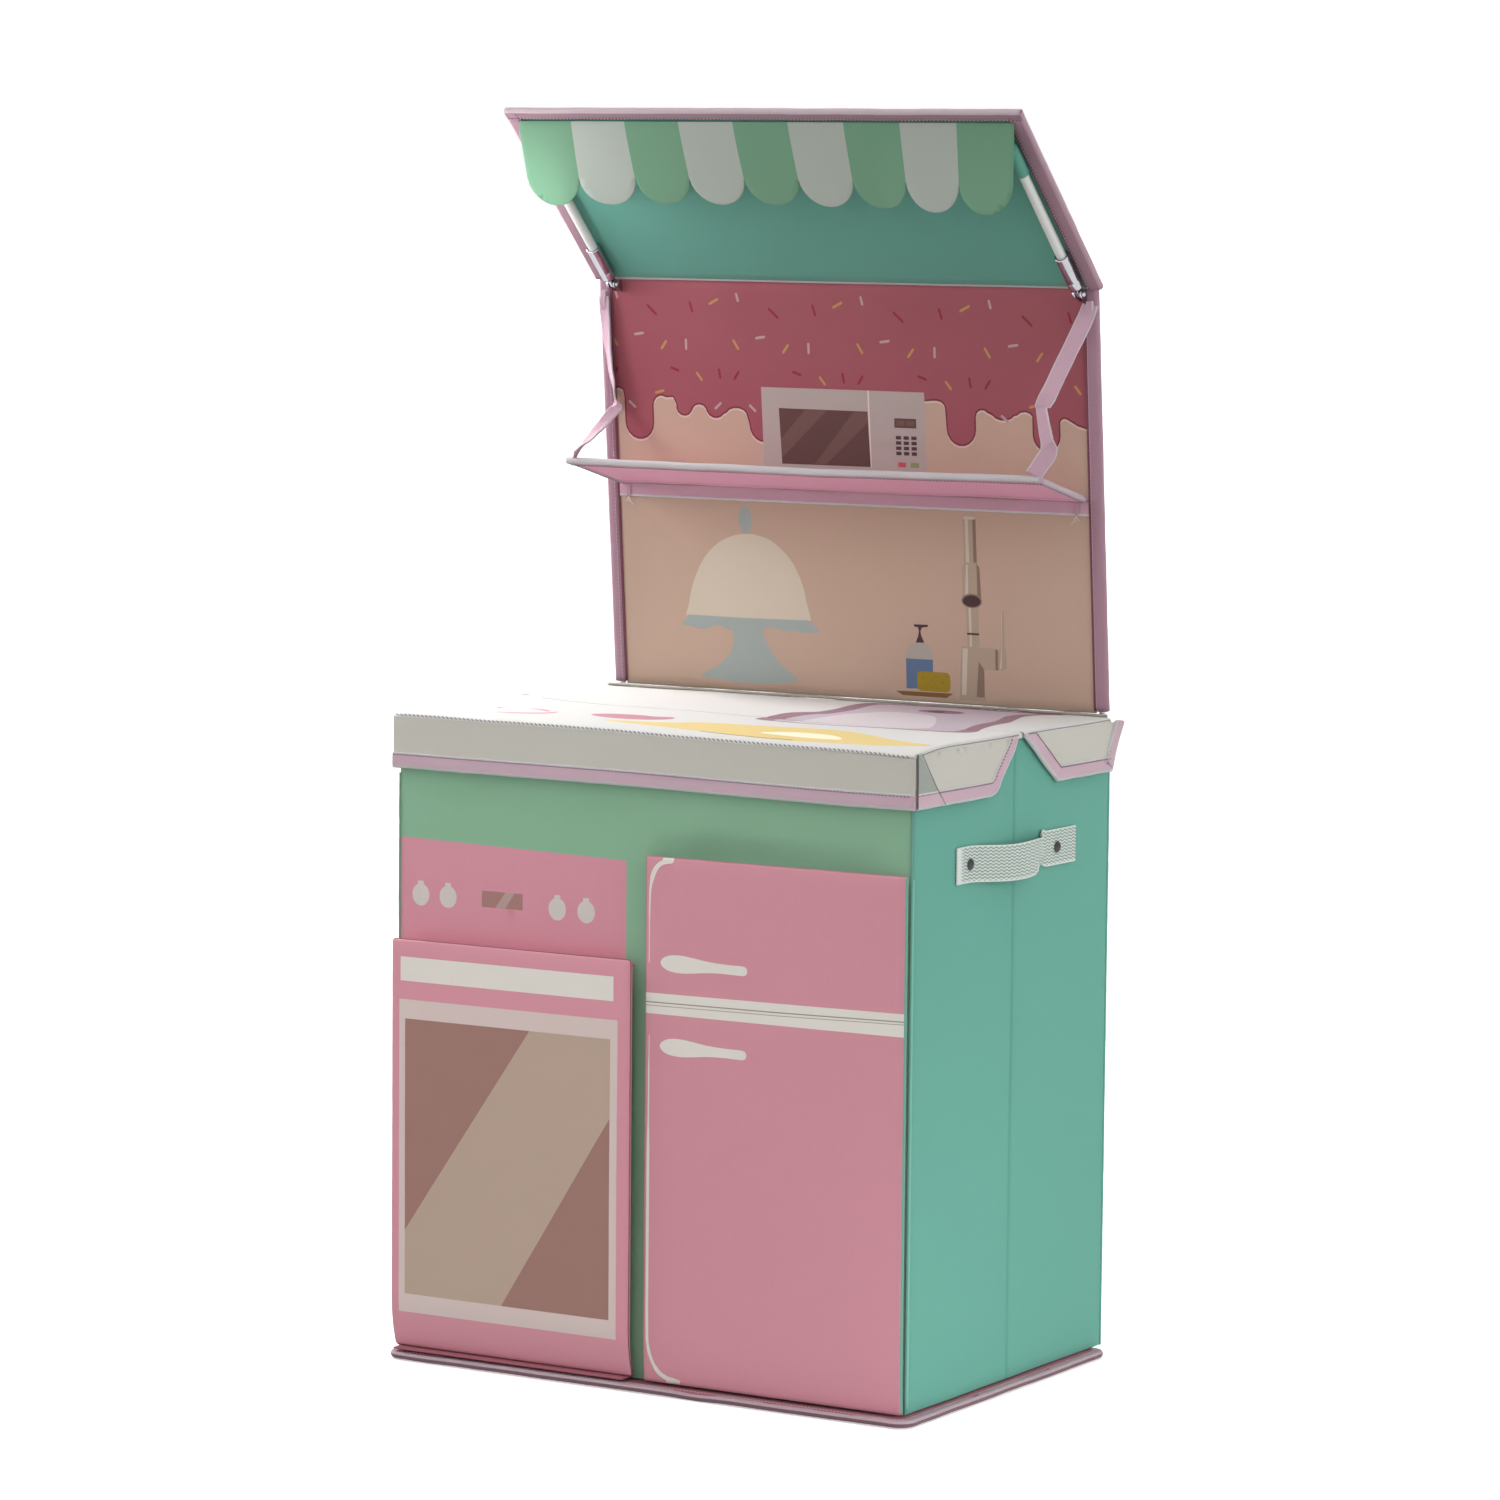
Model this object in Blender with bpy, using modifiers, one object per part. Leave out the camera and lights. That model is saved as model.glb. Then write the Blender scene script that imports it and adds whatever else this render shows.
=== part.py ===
"""Collapsible toy kitchen: a board-stiffened fabric box with printed doors, a folding skirted lid, and a
backdrop on two poles that carries a shelf and a striped canopy.  Metres, +Z up, +X right, -Y front."""

from math import cos, pi, radians, sin

import bmesh
import bpy
from mathutils import Matrix, Vector

# Driving dimensions -------------------------------------------------------------------------------------
GAP = 0.0003                # clearance between neighbouring pieces
BOX_WIDTH = 0.494           # over the side walls
BOX_DEPTH = 0.3375          # front wall face to rear wall face
WALL = 0.003                # covered board
LID_TOP = 0.5448            # worktop height
LID_THICK = 0.006
LID_WIDTH = 0.503           # over the side skirts
SKIRT = 0.0025              # skirt thickness
SKIRT_DROP = 0.0485         # skirt depth below the worktop
CREASE_FROM_FRONT = 0.176   # lid fold line, from the front wall face
BASE_THICK = 0.0065
BASE_OVERHANG = 0.0215      # base edge in front of the front wall
POLE_DIA = 0.008
SLEEVE_DIA = 0.011
BACKDROP_WIDTH = 0.493
BACKDROP_HEIGHT = 0.3625
BACKDROP_LEAN = radians(4.95)
BACKDROP_SHIFT = -0.0035    # the backdrop stands a little to the left
CANOPY_LENGTH = 0.2065
CANOPY_RISE = radians(44.5)
CANOPY_WIDTH = 0.500
SHELF_DEPTH = 0.090
SHELF_TILT = radians(14.0)
SHELF_HEIGHT = 0.1835       # above the worktop, along the backdrop
STRUT_X = 0.2305
STRIPES = 9

# Places worked out from them ----------------------------------------------------------------------------
TOTAL_DEPTH = BASE_OVERHANG + BOX_DEPTH + GAP + SLEEVE_DIA
FRONT_Y = BASE_OVERHANG - TOTAL_DEPTH / 2
REAR_Y = FRONT_Y + BOX_DEPTH
WALL_LOW = BASE_THICK + GAP
WALL_HIGH = LID_TOP - LID_THICK - GAP
SIDE_X = BOX_WIDTH / 2
SIDE_FRONT_Y = FRONT_Y + WALL + GAP
SIDE_REAR_Y = REAR_Y - WALL - GAP
SIDE_FOLD_Y = (SIDE_FRONT_Y + SIDE_REAR_Y) / 2
LID_FOLD_Y = FRONT_Y + CREASE_FROM_FRONT
LID_REAR_Y = REAR_Y - 0.0075
LID_HINGE = Vector((0, REAR_Y - 0.0065, LID_TOP - LID_THICK))
SKIRT_LOW = LID_TOP - SKIRT_DROP
SLEEVE_Y = REAR_Y + GAP + SLEEVE_DIA / 2
POLE_BEND_Z = 0.520
POLE_X = BACKDROP_WIDTH / 2 - 0.00575
BACKDROP_FOOT = Vector((BACKDROP_SHIFT, SLEEVE_Y - (LID_TOP - POLE_BEND_Z) * sin(BACKDROP_LEAN), LID_TOP))
CASING_DEPTH = 0.010
CANOPY_PIVOT = Vector((-BACKDROP_SHIFT, -0.0110, BACKDROP_HEIGHT - 0.005))   # on the backdrop's own axes
SHELF_PIVOT = Vector((0, -0.0045, SHELF_HEIGHT))

SLEEVE_LOW = 0.033
SLEEVE_LENGTH = 0.452

# Doors and their touch tape, as (x, z) corners
TAPE = 0.0010
DOOR_BACK_Y = FRONT_Y - 2 * TAPE - 3 * GAP
OVEN_LOW_X, OVEN_HIGH_X = -0.2430, -0.0065
OVEN_LOW_Z, OVEN_HIGH_Z = 0.0105, 0.3590
OVEN_FRONT_Y = FRONT_Y - 0.0180
OVEN_TAPE = ((-0.165, 0.330), (-0.085, 0.350))
FRIDGE_LOW_X, FRIDGE_HIGH_X = 0.0040, 0.2490
FRIDGE_LOW_Z, FRIDGE_HIGH_Z = 0.0085, 0.4435
FRIDGE_FRONT_Y = FRONT_Y - 0.0115
FRIDGE_TAPE = ((0.008, 0.200), (0.028, 0.260))

# Webbing handles across the side folds
WEBBING = 0.0018
HANDLE_WIDTH = 0.030
HANDLE_Z = 0.4435
HANDLE_BOW = 0.0150
HANDLE_FRONT_Y, HANDLE_REAR_Y = FRONT_Y + 0.078, FRONT_Y + 0.280
RIVET_FRONT_Y, RIVET_REAR_Y = FRONT_Y + 0.099, FRONT_Y + 0.247

SIDES = (("left", -1), ("right", 1))


def linear(channel):
    """One sRGB channel, 0 to 255, as linear light."""
    value = channel / 255
    return value / 12.92 if value <= 0.04045 else ((value + 0.055) / 1.055) ** 2.4


def material(name, rgb, roughness, metallic=0.0):
    mat = bpy.data.materials.new(name)
    mat.use_nodes = True
    shader = mat.node_tree.nodes["Principled BSDF"]
    colour = (*[linear(c) for c in rgb], 1.0)
    shader.inputs["Base Color"].default_value = colour
    shader.inputs["Roughness"].default_value = roughness
    shader.inputs["Metallic"].default_value = metallic
    mat.diffuse_color = colour
    return mat


for old in list(bpy.data.objects):
    bpy.data.objects.remove(old, do_unlink=True)

PARTS = bpy.data.collections.new("toy_kitchen")
CUTTERS = bpy.data.collections.new("cutters")
bpy.context.scene.collection.children.link(PARTS)
bpy.context.scene.collection.children.link(CUTTERS)

GREEN = material("mint_green_fabric", (150, 190, 158), 0.75)
TEAL = material("teal_fabric", (110, 180, 165), 0.75)
PINK = material("pink_printed_fabric", (203, 143, 153), 0.7)
BINDING = material("pale_pink_binding", (222, 190, 200), 0.8)
WORKTOP = material("white_printed_fabric", (235, 234, 230), 0.7)
ICING = material("backdrop_print", (190, 140, 140), 0.7)
WHITE = material("white_webbing", (222, 226, 220), 0.8)
STRIPE = material("striped_fabric", (150, 190, 165), 0.75)
TUBE = material("white_plastic_tube", (225, 228, 226), 0.4)
CHROME = material("chrome", (200, 200, 205), 0.15, 1.0)
HOOK = material("touch_tape", (235, 235, 232), 0.95)


def frame(name, location, parent=None, tilt=0.0):
    """An empty on a joint's axis, at a place in the world and turned about X."""
    empty = bpy.data.objects.new(name, None)
    empty.empty_display_size = 0.03
    PARTS.objects.link(empty)
    empty.parent = parent
    bpy.context.view_layer.update()
    empty.matrix_world = Matrix.Translation(location) @ Matrix.Rotation(tilt, 4, "X")
    bpy.context.view_layer.update()
    return empty


def finish_object(obj, mat, parent, world=True, collection=PARTS):
    """Name the home of a new object: its material, its collection and its parent.  With world, the piece
    keeps the place it was made at; otherwise it was made on its parent's own axes."""
    for used in list(obj.users_collection):
        used.objects.unlink(obj)
    collection.objects.link(obj)
    if mat is not None:
        obj.data.materials.append(mat)
    if parent is not None:
        obj.parent = parent
        if world:
            bpy.context.view_layer.update()
            obj.matrix_parent_inverse = parent.matrix_world.inverted()
    return obj


def bevel(obj, width, segments=2):
    modifier = obj.modifiers.new("rounded_edges", "BEVEL")
    modifier.width = width
    modifier.segments = segments
    modifier.limit_method = "ANGLE"
    return obj


def board(name, low, high, mat, parent=None, world=True, round_edge=0.0008, collection=PARTS):
    """A flat piece between two corners."""
    low, high = Vector(low), Vector(high)
    bpy.ops.mesh.primitive_cube_add(size=1, location=(low + high) / 2)
    obj = bpy.context.object
    obj.name = name
    obj.data.transform(Matrix.Diagonal((*(high - low), 1)))
    finish_object(obj, mat, parent, world, collection)
    if round_edge:
        bevel(obj, round_edge)
    return obj


def rod(name, start, end, radius, mat, parent=None, world=True, sides=20, collection=PARTS):
    """A plain cylinder between two points."""
    start, end = Vector(start), Vector(end)
    bpy.ops.mesh.primitive_cylinder_add(vertices=sides, radius=radius, depth=(end - start).length)
    obj = bpy.context.object
    obj.name = name
    obj.rotation_mode = "QUATERNION"
    obj.rotation_quaternion = (end - start).to_track_quat("Z", "Y")
    obj.location = (start + end) / 2
    finish_object(obj, mat, parent, world, collection)
    obj.data.shade_smooth()
    obj.data.set_sharp_from_angle(angle=radians(40))
    return obj


def turned(name, profile, mat, foot, direction, parent=None, world=True, sides=20):
    """A turned piece: (radius, height) points that run down the outer side, spun about direction.  A profile
    that never meets the axis is closed on itself."""
    mesh = bpy.data.meshes.new(name)
    points = [(radius, 0, height) for radius, height in profile]
    edges = [(i, i + 1) for i in range(len(points) - 1)]
    if profile[0][0] > 0:
        edges.append((len(points) - 1, 0))
    mesh.from_pydata(points, edges, [])
    obj = bpy.data.objects.new(name, mesh)
    obj.rotation_mode = "QUATERNION"
    obj.rotation_quaternion = Vector(direction).to_track_quat("Z", "Y")
    obj.location = foot
    finish_object(obj, mat, parent, world)
    screw = obj.modifiers.new("spin", "SCREW")
    screw.axis = "Z"
    screw.steps = sides
    screw.render_steps = sides
    screw.use_merge_vertices = True
    screw.merge_threshold = 0.00001
    return obj


def plate(name, outline, thickness, mat, parent=None, world=True, matrix=None, collection=PARTS):
    """A flat outline of (x, y) points, filled and as thick as given, then turned by matrix."""
    curve = bpy.data.curves.new(name, "CURVE")
    curve.dimensions = "2D"
    curve.fill_mode = "BOTH"
    curve.extrude = thickness / 2
    spline = curve.splines.new("POLY")
    spline.points.add(len(outline) - 1)
    for point, (x, y) in zip(spline.points, outline):
        point.co = (x, y, 0, 1)
    spline.use_cyclic_u = True
    source = bpy.data.objects.new(name + "_outline", curve)
    CUTTERS.objects.link(source)
    bpy.context.view_layer.update()
    mesh = bpy.data.meshes.new_from_object(source.evaluated_get(bpy.context.evaluated_depsgraph_get()))
    bpy.data.objects.remove(source)
    work = bmesh.new()
    work.from_mesh(mesh)
    bmesh.ops.remove_doubles(work, verts=work.verts, dist=0.00001)
    work.to_mesh(mesh)
    work.free()
    if matrix is not None:
        mesh.transform(matrix)
    mesh.name = name
    return finish_object(bpy.data.objects.new(name, mesh), mat, parent, world, collection)


def across_x(outline, low_x, high_x, name, mat, parent, world=True):
    """A (y, z) outline, thick along X from low_x to high_x."""
    turn = Matrix(((0, 0, 1, (low_x + high_x) / 2), (1, 0, 0, 0), (0, 1, 0, 0), (0, 0, 0, 1)))
    return plate(name, outline, high_x - low_x, mat, parent, world, turn)


def along_y(outline, low_y, high_y, name, mat, parent, world=True):
    """An (x, z) outline, thick along Y from low_y to high_y."""
    turn = Matrix(((1, 0, 0, 0), (0, 0, -1, (low_y + high_y) / 2), (0, 1, 0, 0), (0, 0, 0, 1)))
    return plate(name, outline, high_y - low_y, mat, parent, world, turn)


def boolean(obj, other, operation):
    """Cut obj with other, or join other to it."""
    other.hide_render = True
    other.display_type = "WIRE"
    modifier = obj.modifiers.new(operation.lower(), "BOOLEAN")
    modifier.operation = operation
    modifier.object = other


def rounded_rectangle(low, high, radius, steps=5):
    """Corner arcs of a rectangle, anticlockwise."""
    centres = ((high[0], high[1], 0), (low[0], high[1], 1), (low[0], low[1], 2), (high[0], low[1], 3))
    points = []
    for x, y, quarter in centres:
        cx = x - radius if quarter in (0, 3) else x + radius
        cy = y - radius if quarter in (0, 1) else y + radius
        for i in range(steps + 1):
            turn = (quarter + i / steps) * pi / 2
            points.append((cx + radius * cos(turn), cy + radius * sin(turn)))
    return points


# Base and rear: the fixed body --------------------------------------------------------------------------

def make_base():
    """A bound board under the walls; it lies on the floor and sticks out all round."""
    low, high = (-0.2475, FRONT_Y - BASE_OVERHANG), (0.2600, REAR_Y - 0.010)
    rim = 0.005
    inner_low = [v + rim + GAP for v in low]
    inner_high = [v - rim - GAP for v in high]
    lift = Matrix.Translation((0, 0, BASE_THICK / 2))
    plate("base_board", rounded_rectangle(inner_low, inner_high, 0.010), BASE_THICK, TEAL, BOX, matrix=lift)
    ring = plate("base_binding", rounded_rectangle(low, high, 0.0155), BASE_THICK, BINDING, BOX, matrix=lift)
    hole_low = [v + rim for v in low]
    hole_high = [v - rim for v in high]
    hole = plate("base_binding_hole", rounded_rectangle(hole_low, hole_high, 0.0103), 0.05, None, None,
                 collection=CUTTERS)
    boolean(ring, hole, "DIFFERENCE")


def make_rear():
    """Rear wall with two sewn pole sleeves, open at the top."""
    board("rear_wall", (-SIDE_X, REAR_Y - WALL, WALL_LOW), (SIDE_X, REAR_Y, WALL_HIGH), TEAL, BOX)
    bore = POLE_DIA / 2 + GAP
    floor = 0.003
    profile = ((0, floor), (bore, floor), (bore, SLEEVE_LENGTH), (SLEEVE_DIA / 2, SLEEVE_LENGTH),
               (SLEEVE_DIA / 2, 0), (0, 0))
    for side, sign in SIDES:
        foot = (BACKDROP_SHIFT + sign * POLE_X, SLEEVE_Y, SLEEVE_LOW)
        turned(f"pole_sleeve_{side}", profile, TEAL, foot, (0, 0, 1), BOX)


# Folding sides and handles ------------------------------------------------------------------------------

def make_side(side, sign, rear_frame, front_frame):
    """Two half panels that fold inward at the middle, and the webbing handle riveted across the fold."""
    inner, outer = sorted((sign * (SIDE_X - WALL), sign * SIDE_X))
    board(f"side_{side}_rear_panel", (inner, SIDE_FOLD_Y + GAP / 2, WALL_LOW), (outer, SIDE_REAR_Y, WALL_HIGH),
          TEAL, rear_frame, round_edge=0.0)
    board(f"side_{side}_front_panel", (inner, SIDE_FRONT_Y, WALL_LOW), (outer, SIDE_FOLD_Y - GAP / 2, WALL_HIGH),
          TEAL, front_frame, round_edge=0.0)
    make_handle(side, sign, rear_frame)
    for end, rivet_y, parent in (("front", RIVET_FRONT_Y, front_frame), ("rear", RIVET_REAR_Y, rear_frame)):
        dome = ((0, 0.0026), (0.0026, 0.0020), (0.0042, 0.0006), (0.0044, 0), (0, 0))
        foot = (sign * (SIDE_X + WEBBING + 2 * GAP), rivet_y, HANDLE_Z)
        turned(f"rivet_{side}_{end}", dome, CHROME, foot, (sign, 0, 0), parent)


def make_handle(side, sign, parent):
    """Flat at its riveted ends, bowed out between them so that a hand goes behind."""
    near, bow = SIDE_X + GAP, HANDLE_BOW
    ends = (HANDLE_FRONT_Y, HANDLE_REAR_Y)
    rise_start, rise_end = RIVET_FRONT_Y + 0.012, RIVET_REAR_Y - 0.012
    steps = 14
    path = [(ends[0], near)]
    for i in range(steps + 1):
        y = rise_start + (rise_end - rise_start) * i / steps
        path.append((y, near + bow * (1 - cos(2 * pi * i / steps)) / 2))
    path.append((ends[1], near))
    outline = [(sign * x, y) for y, x in path] + [(sign * (x + WEBBING), y) for y, x in reversed(path)]
    plate(f"handle_{side}", outline, HANDLE_WIDTH, WHITE, parent, matrix=Matrix.Translation((0, 0, HANDLE_Z)))


# Front wall and its doors -------------------------------------------------------------------------------

def make_front_wall():
    board("front_wall", (-SIDE_X, FRONT_Y, WALL_LOW), (SIDE_X, FRONT_Y + WALL, WALL_HIGH), GREEN, FRONT,
          round_edge=0.0)
    board("oven_hinge_flap", (OVEN_LOW_X, OVEN_FRONT_Y + 0.0005, OVEN_LOW_Z - 0.0026),
          (OVEN_HIGH_X, FRONT_Y - GAP, OVEN_LOW_Z - 0.0006), PINK, FRONT, round_edge=0.0)
    board("fridge_hinge_tape", (SIDE_X + GAP, FRONT_Y, 0.012), (SIDE_X + 0.0015, FRONT_Y + WALL, 0.440), PINK,
          FRONT, round_edge=0.0)
    tape(("oven_hook_tape", FRONT), OVEN_TAPE, FRONT_Y - GAP)
    tape(("fridge_hook_tape", FRONT), FRIDGE_TAPE, FRONT_Y - GAP)


def tape(node, place, rear_y):
    """One half of a touch-tape pair: its (x, z) corners, and the face that it is sewn to."""
    name, parent = node
    low, high = place
    board(name, (low[0], rear_y - TAPE, low[1]), (high[0], rear_y, high[1]), HOOK, parent, round_edge=0.0)


def make_oven_door():
    board("oven_door", (OVEN_LOW_X, OVEN_FRONT_Y, OVEN_LOW_Z), (OVEN_HIGH_X, DOOR_BACK_Y, OVEN_HIGH_Z), PINK, OVEN,
          round_edge=0.0025)
    tape(("oven_loop_tape", OVEN), OVEN_TAPE, DOOR_BACK_Y + GAP + TAPE)


def make_fridge_door():
    board("fridge_door", (FRIDGE_LOW_X, FRIDGE_FRONT_Y, FRIDGE_LOW_Z), (FRIDGE_HIGH_X, DOOR_BACK_Y, FRIDGE_HIGH_Z),
          PINK, FRIDGE, round_edge=0.0018)
    tape(("fridge_loop_tape", FRIDGE), FRIDGE_TAPE, DOOR_BACK_Y + GAP + TAPE)


# Lid ----------------------------------------------------------------------------------------------------

def make_lid():
    """Two covered boards joined at a fold line, each with its own skirt pieces outside the walls."""
    panel_x = LID_WIDTH / 2 - SKIRT - GAP
    front_face = FRONT_Y - 0.0045
    under = LID_TOP - LID_THICK
    board("lid_rear_panel", (-panel_x, LID_FOLD_Y + GAP / 2, under), (panel_x, LID_REAR_Y, LID_TOP), WORKTOP,
          LID_REAR, round_edge=0.0)
    board("lid_front_panel", (-panel_x, front_face + SKIRT + GAP, under), (panel_x, LID_FOLD_Y - GAP / 2, LID_TOP),
          WORKTOP, LID_FRONT, round_edge=0.0)
    board("lid_skirt_front", (-LID_WIDTH / 2, front_face, SKIRT_LOW), (LID_WIDTH / 2, front_face + SKIRT, LID_TOP),
          WORKTOP, LID_FRONT)
    rod("lid_rear_piping", (-panel_x, LID_REAR_Y - 0.004, LID_TOP + 0.0015), (panel_x, LID_REAR_Y - 0.004,
        LID_TOP + 0.0015), 0.0012, WORKTOP, LID_REAR, sides=10)
    notch_top, notch_low = 0.001, 0.061
    flap_front = front_face + SKIRT + GAP
    flap_rear = REAR_Y + 0.0075
    front_flap = ((flap_front, SKIRT_LOW), (LID_FOLD_Y - notch_low, SKIRT_LOW), (LID_FOLD_Y - notch_top, under),
                  (LID_FOLD_Y - notch_top, LID_TOP), (flap_front, LID_TOP))
    rear_flap = ((LID_FOLD_Y + notch_top, LID_TOP), (LID_FOLD_Y + notch_top, under),
                 (LID_FOLD_Y + notch_low, SKIRT_LOW + 0.003), (flap_rear - 0.001, SKIRT_LOW + 0.003),
                 (flap_rear, LID_TOP))
    for side, sign in SIDES:
        low_x, high_x = sorted((sign * (LID_WIDTH / 2 - SKIRT), sign * LID_WIDTH / 2))
        across_x(front_flap, low_x, high_x, f"lid_front_skirt_{side}", WORKTOP, LID_FRONT)
        across_x(rear_flap, low_x, high_x, f"lid_rear_skirt_{side}", WORKTOP, LID_REAR)


# Backdrop, on its own leaning axes ----------------------------------------------------------------------

def make_backdrop():
    low_z = 0.004
    half = BACKDROP_WIDTH / 2
    casing_inner = half - 0.0115
    board("backdrop_panel", (-casing_inner + GAP, -0.002, low_z), (casing_inner - GAP, 0.002, BACKDROP_HEIGHT), ICING,
          BACKDROP, world=False)
    board("shelf_seam_band", (-0.2335, -0.0035, SHELF_HEIGHT - 0.0125), (0.2335, -0.0023, SHELF_HEIGHT - 0.0035),
          BINDING, BACKDROP, world=False, round_edge=0.0)
    for side, sign in SIDES:
        inner, outer = sorted((sign * casing_inner, sign * half))
        casing = board(f"backdrop_casing_{side}", (inner, -CASING_DEPTH / 2, low_z),
                       (outer, CASING_DEPTH / 2, BACKDROP_HEIGHT), BINDING, BACKDROP, world=False,
                       round_edge=0.0)
        hole = rod(f"casing_bore_{side}", (sign * POLE_X, 0, low_z - 0.01),
                   (sign * POLE_X, 0, BACKDROP_HEIGHT - 0.006), POLE_DIA / 2 + GAP, None, BACKDROP, world=False,
                   collection=CUTTERS)
        boolean(casing, hole, "DIFFERENCE")
        make_pole(side, sign)
        make_knuckle(side, sign)
        make_shelf_strap(side, sign)


def make_pole(side, sign):
    """Straight in its sleeve, bent a little where it leaves the box, straight again up the casing."""
    x = BACKDROP_SHIFT + sign * POLE_X
    up = Vector((0, -sin(BACKDROP_LEAN), cos(BACKDROP_LEAN)))
    bend = Vector((x, SLEEVE_Y, POLE_BEND_Z))
    half_bend = 0.012
    points = [Vector((x, SLEEVE_Y, SLEEVE_LOW + 0.005)), bend - Vector((0, 0, half_bend))]
    steps = 4
    for i in range(1, steps):
        t = i / steps
        start, end = bend - Vector((0, 0, half_bend)), bend + up * half_bend
        points.append(start * (1 - t) ** 2 + bend * 2 * t * (1 - t) + end * t ** 2)
    points += [bend + up * half_bend, bend + up * (LID_TOP - POLE_BEND_Z + BACKDROP_HEIGHT - 0.010)]
    curve = bpy.data.curves.new(f"pole_{side}", "CURVE")
    curve.dimensions = "3D"
    curve.bevel_depth = POLE_DIA / 2
    curve.bevel_resolution = 3
    curve.use_fill_caps = True
    spline = curve.splines.new("POLY")
    spline.points.add(len(points) - 1)
    for target, point in zip(spline.points, points):
        target.co = (*point, 1)
    finish_object(bpy.data.objects.new(f"pole_{side}", curve), CHROME, BACKDROP)


def make_knuckle(side, sign):
    """Clevis on the backdrop that carries the canopy strut: a block, two cheeks and a stud, with a pin."""
    x = CANOPY_PIVOT.x + sign * STRUT_X
    y, z = CANOPY_PIVOT.y, CANOPY_PIVOT.z
    block = board(f"knuckle_{side}", (x - 0.0040, y - 0.0030, z - 0.0185), (x + 0.0040, y + 0.0052, z - 0.0090),
                  CHROME, BACKDROP, world=False, round_edge=0.0)
    stud = rod(f"knuckle_stud_{side}", (x - sign * 0.002, y + 0.003, z - 0.0135),
               (x - sign * 0.002, -0.0023, z - 0.0135), 0.0018, None, BACKDROP, world=False, collection=CUTTERS)
    boolean(block, stud, "UNION")
    for cheek in (-1, 1):
        low, high = sorted((x + cheek * 0.0021, x + cheek * 0.0036))
        post = board(f"knuckle_post_{side}_{cheek}", (low, y - 0.0030, z - 0.0100), (high, y + 0.0030, z), None,
                     BACKDROP, world=False, round_edge=0.0, collection=CUTTERS)
        eye = rod(f"knuckle_eye_{side}_{cheek}", (low, y, z), (high, y, z), 0.0038, None, BACKDROP, world=False,
                  collection=CUTTERS)
        boolean(block, post, "UNION")
        boolean(block, eye, "UNION")
    hole = rod(f"knuckle_hole_{side}", (x - 0.01, y, z), (x + 0.01, y, z), 0.0017, None, BACKDROP, world=False,
               sides=12, collection=CUTTERS)
    boolean(block, hole, "DIFFERENCE")
    rod(f"knuckle_pin_{side}", (x - 0.0045, y, z), (x + 0.0045, y, z), 0.0013, CHROME, BACKDROP, world=False,
        sides=12)


def make_shelf_strap(side, sign):
    """A slack strap from the casing front to the shelf's front corner; the two sides hang differently."""
    if side == "left":
        path = ((-0.0060, 0.3470), (-0.0062, 0.3250), (-0.0075, 0.2900), (-0.0120, 0.2480), (-0.0810, 0.2130))
    else:
        path = ((-0.0060, 0.3470), (-0.0064, 0.3250), (-0.0860, 0.2620), (-0.0860, 0.2350), (-0.0815, 0.2130))
    inner, outer = sorted((sign * 0.2384, sign * 0.2464))
    ribbon(f"shelf_strap_{side}", path, 0.0012, inner, outer, BINDING, BACKDROP)


def ribbon(name, path, thickness, low_x, high_x, mat, parent):
    """A strap through (y, z) points, square to X."""
    points = [Vector(p) for p in path]
    front, rear = [], []
    for i, point in enumerate(points):
        before = (point - points[i - 1]).normalized() if i else None
        after = (points[i + 1] - point).normalized() if i < len(points) - 1 else None
        normals = [Vector((-d.y, d.x)) for d in (before, after) if d is not None]
        middle = sum(normals, Vector((0, 0))).normalized()
        spread = thickness / 2 / middle.dot(normals[0])
        front.append(point - middle * spread)
        rear.append(point + middle * spread)
    outline = [tuple(p) for p in front] + [tuple(p) for p in reversed(rear)]
    across_x(outline, low_x, high_x, name, mat, parent, world=False)


def make_shelf():
    """Bound panel on its own tilted axes, hinged along its rear edge."""
    half, edge, bound = 0.2335, 0.0005, 0.004
    board("shelf_panel", (-half + 0.0003, -SHELF_DEPTH + bound + GAP, -0.002), (half - 0.0003, -edge, 0.002), PINK,
          SHELF, world=False, round_edge=0.0)
    board("shelf_front_binding", (-half, -SHELF_DEPTH, -0.0028), (half, -SHELF_DEPTH + bound, 0.0028), BINDING,
          SHELF, world=False)


# Canopy, on its own axes: -Y runs out along the struts, Z is square to the panel -------------------------

def make_canopy():
    under, thick, bound = 0.0060, 0.004, 0.0135
    half, start = CANOPY_WIDTH / 2, -0.002
    front = -CANOPY_LENGTH
    board("canopy_panel", (-half + bound + GAP, front + 0.008 + GAP, under), (half - bound - GAP, start, under + thick),
          TEAL, CANOPY, world=False)
    board("canopy_front_binding", (-half, front, under - 0.001), (half, front + 0.008, under + thick + 0.001), BINDING,
          CANOPY, world=False)
    for side, sign in SIDES:
        inner, outer = sorted((sign * (half - bound), sign * half))
        board(f"canopy_side_binding_{side}", (inner, front + 0.008 + GAP, under - 0.001),
              (outer, start, under + thick + 0.001), BINDING, CANOPY, world=False)
        make_strut(side, sign)
    make_valance()


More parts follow.
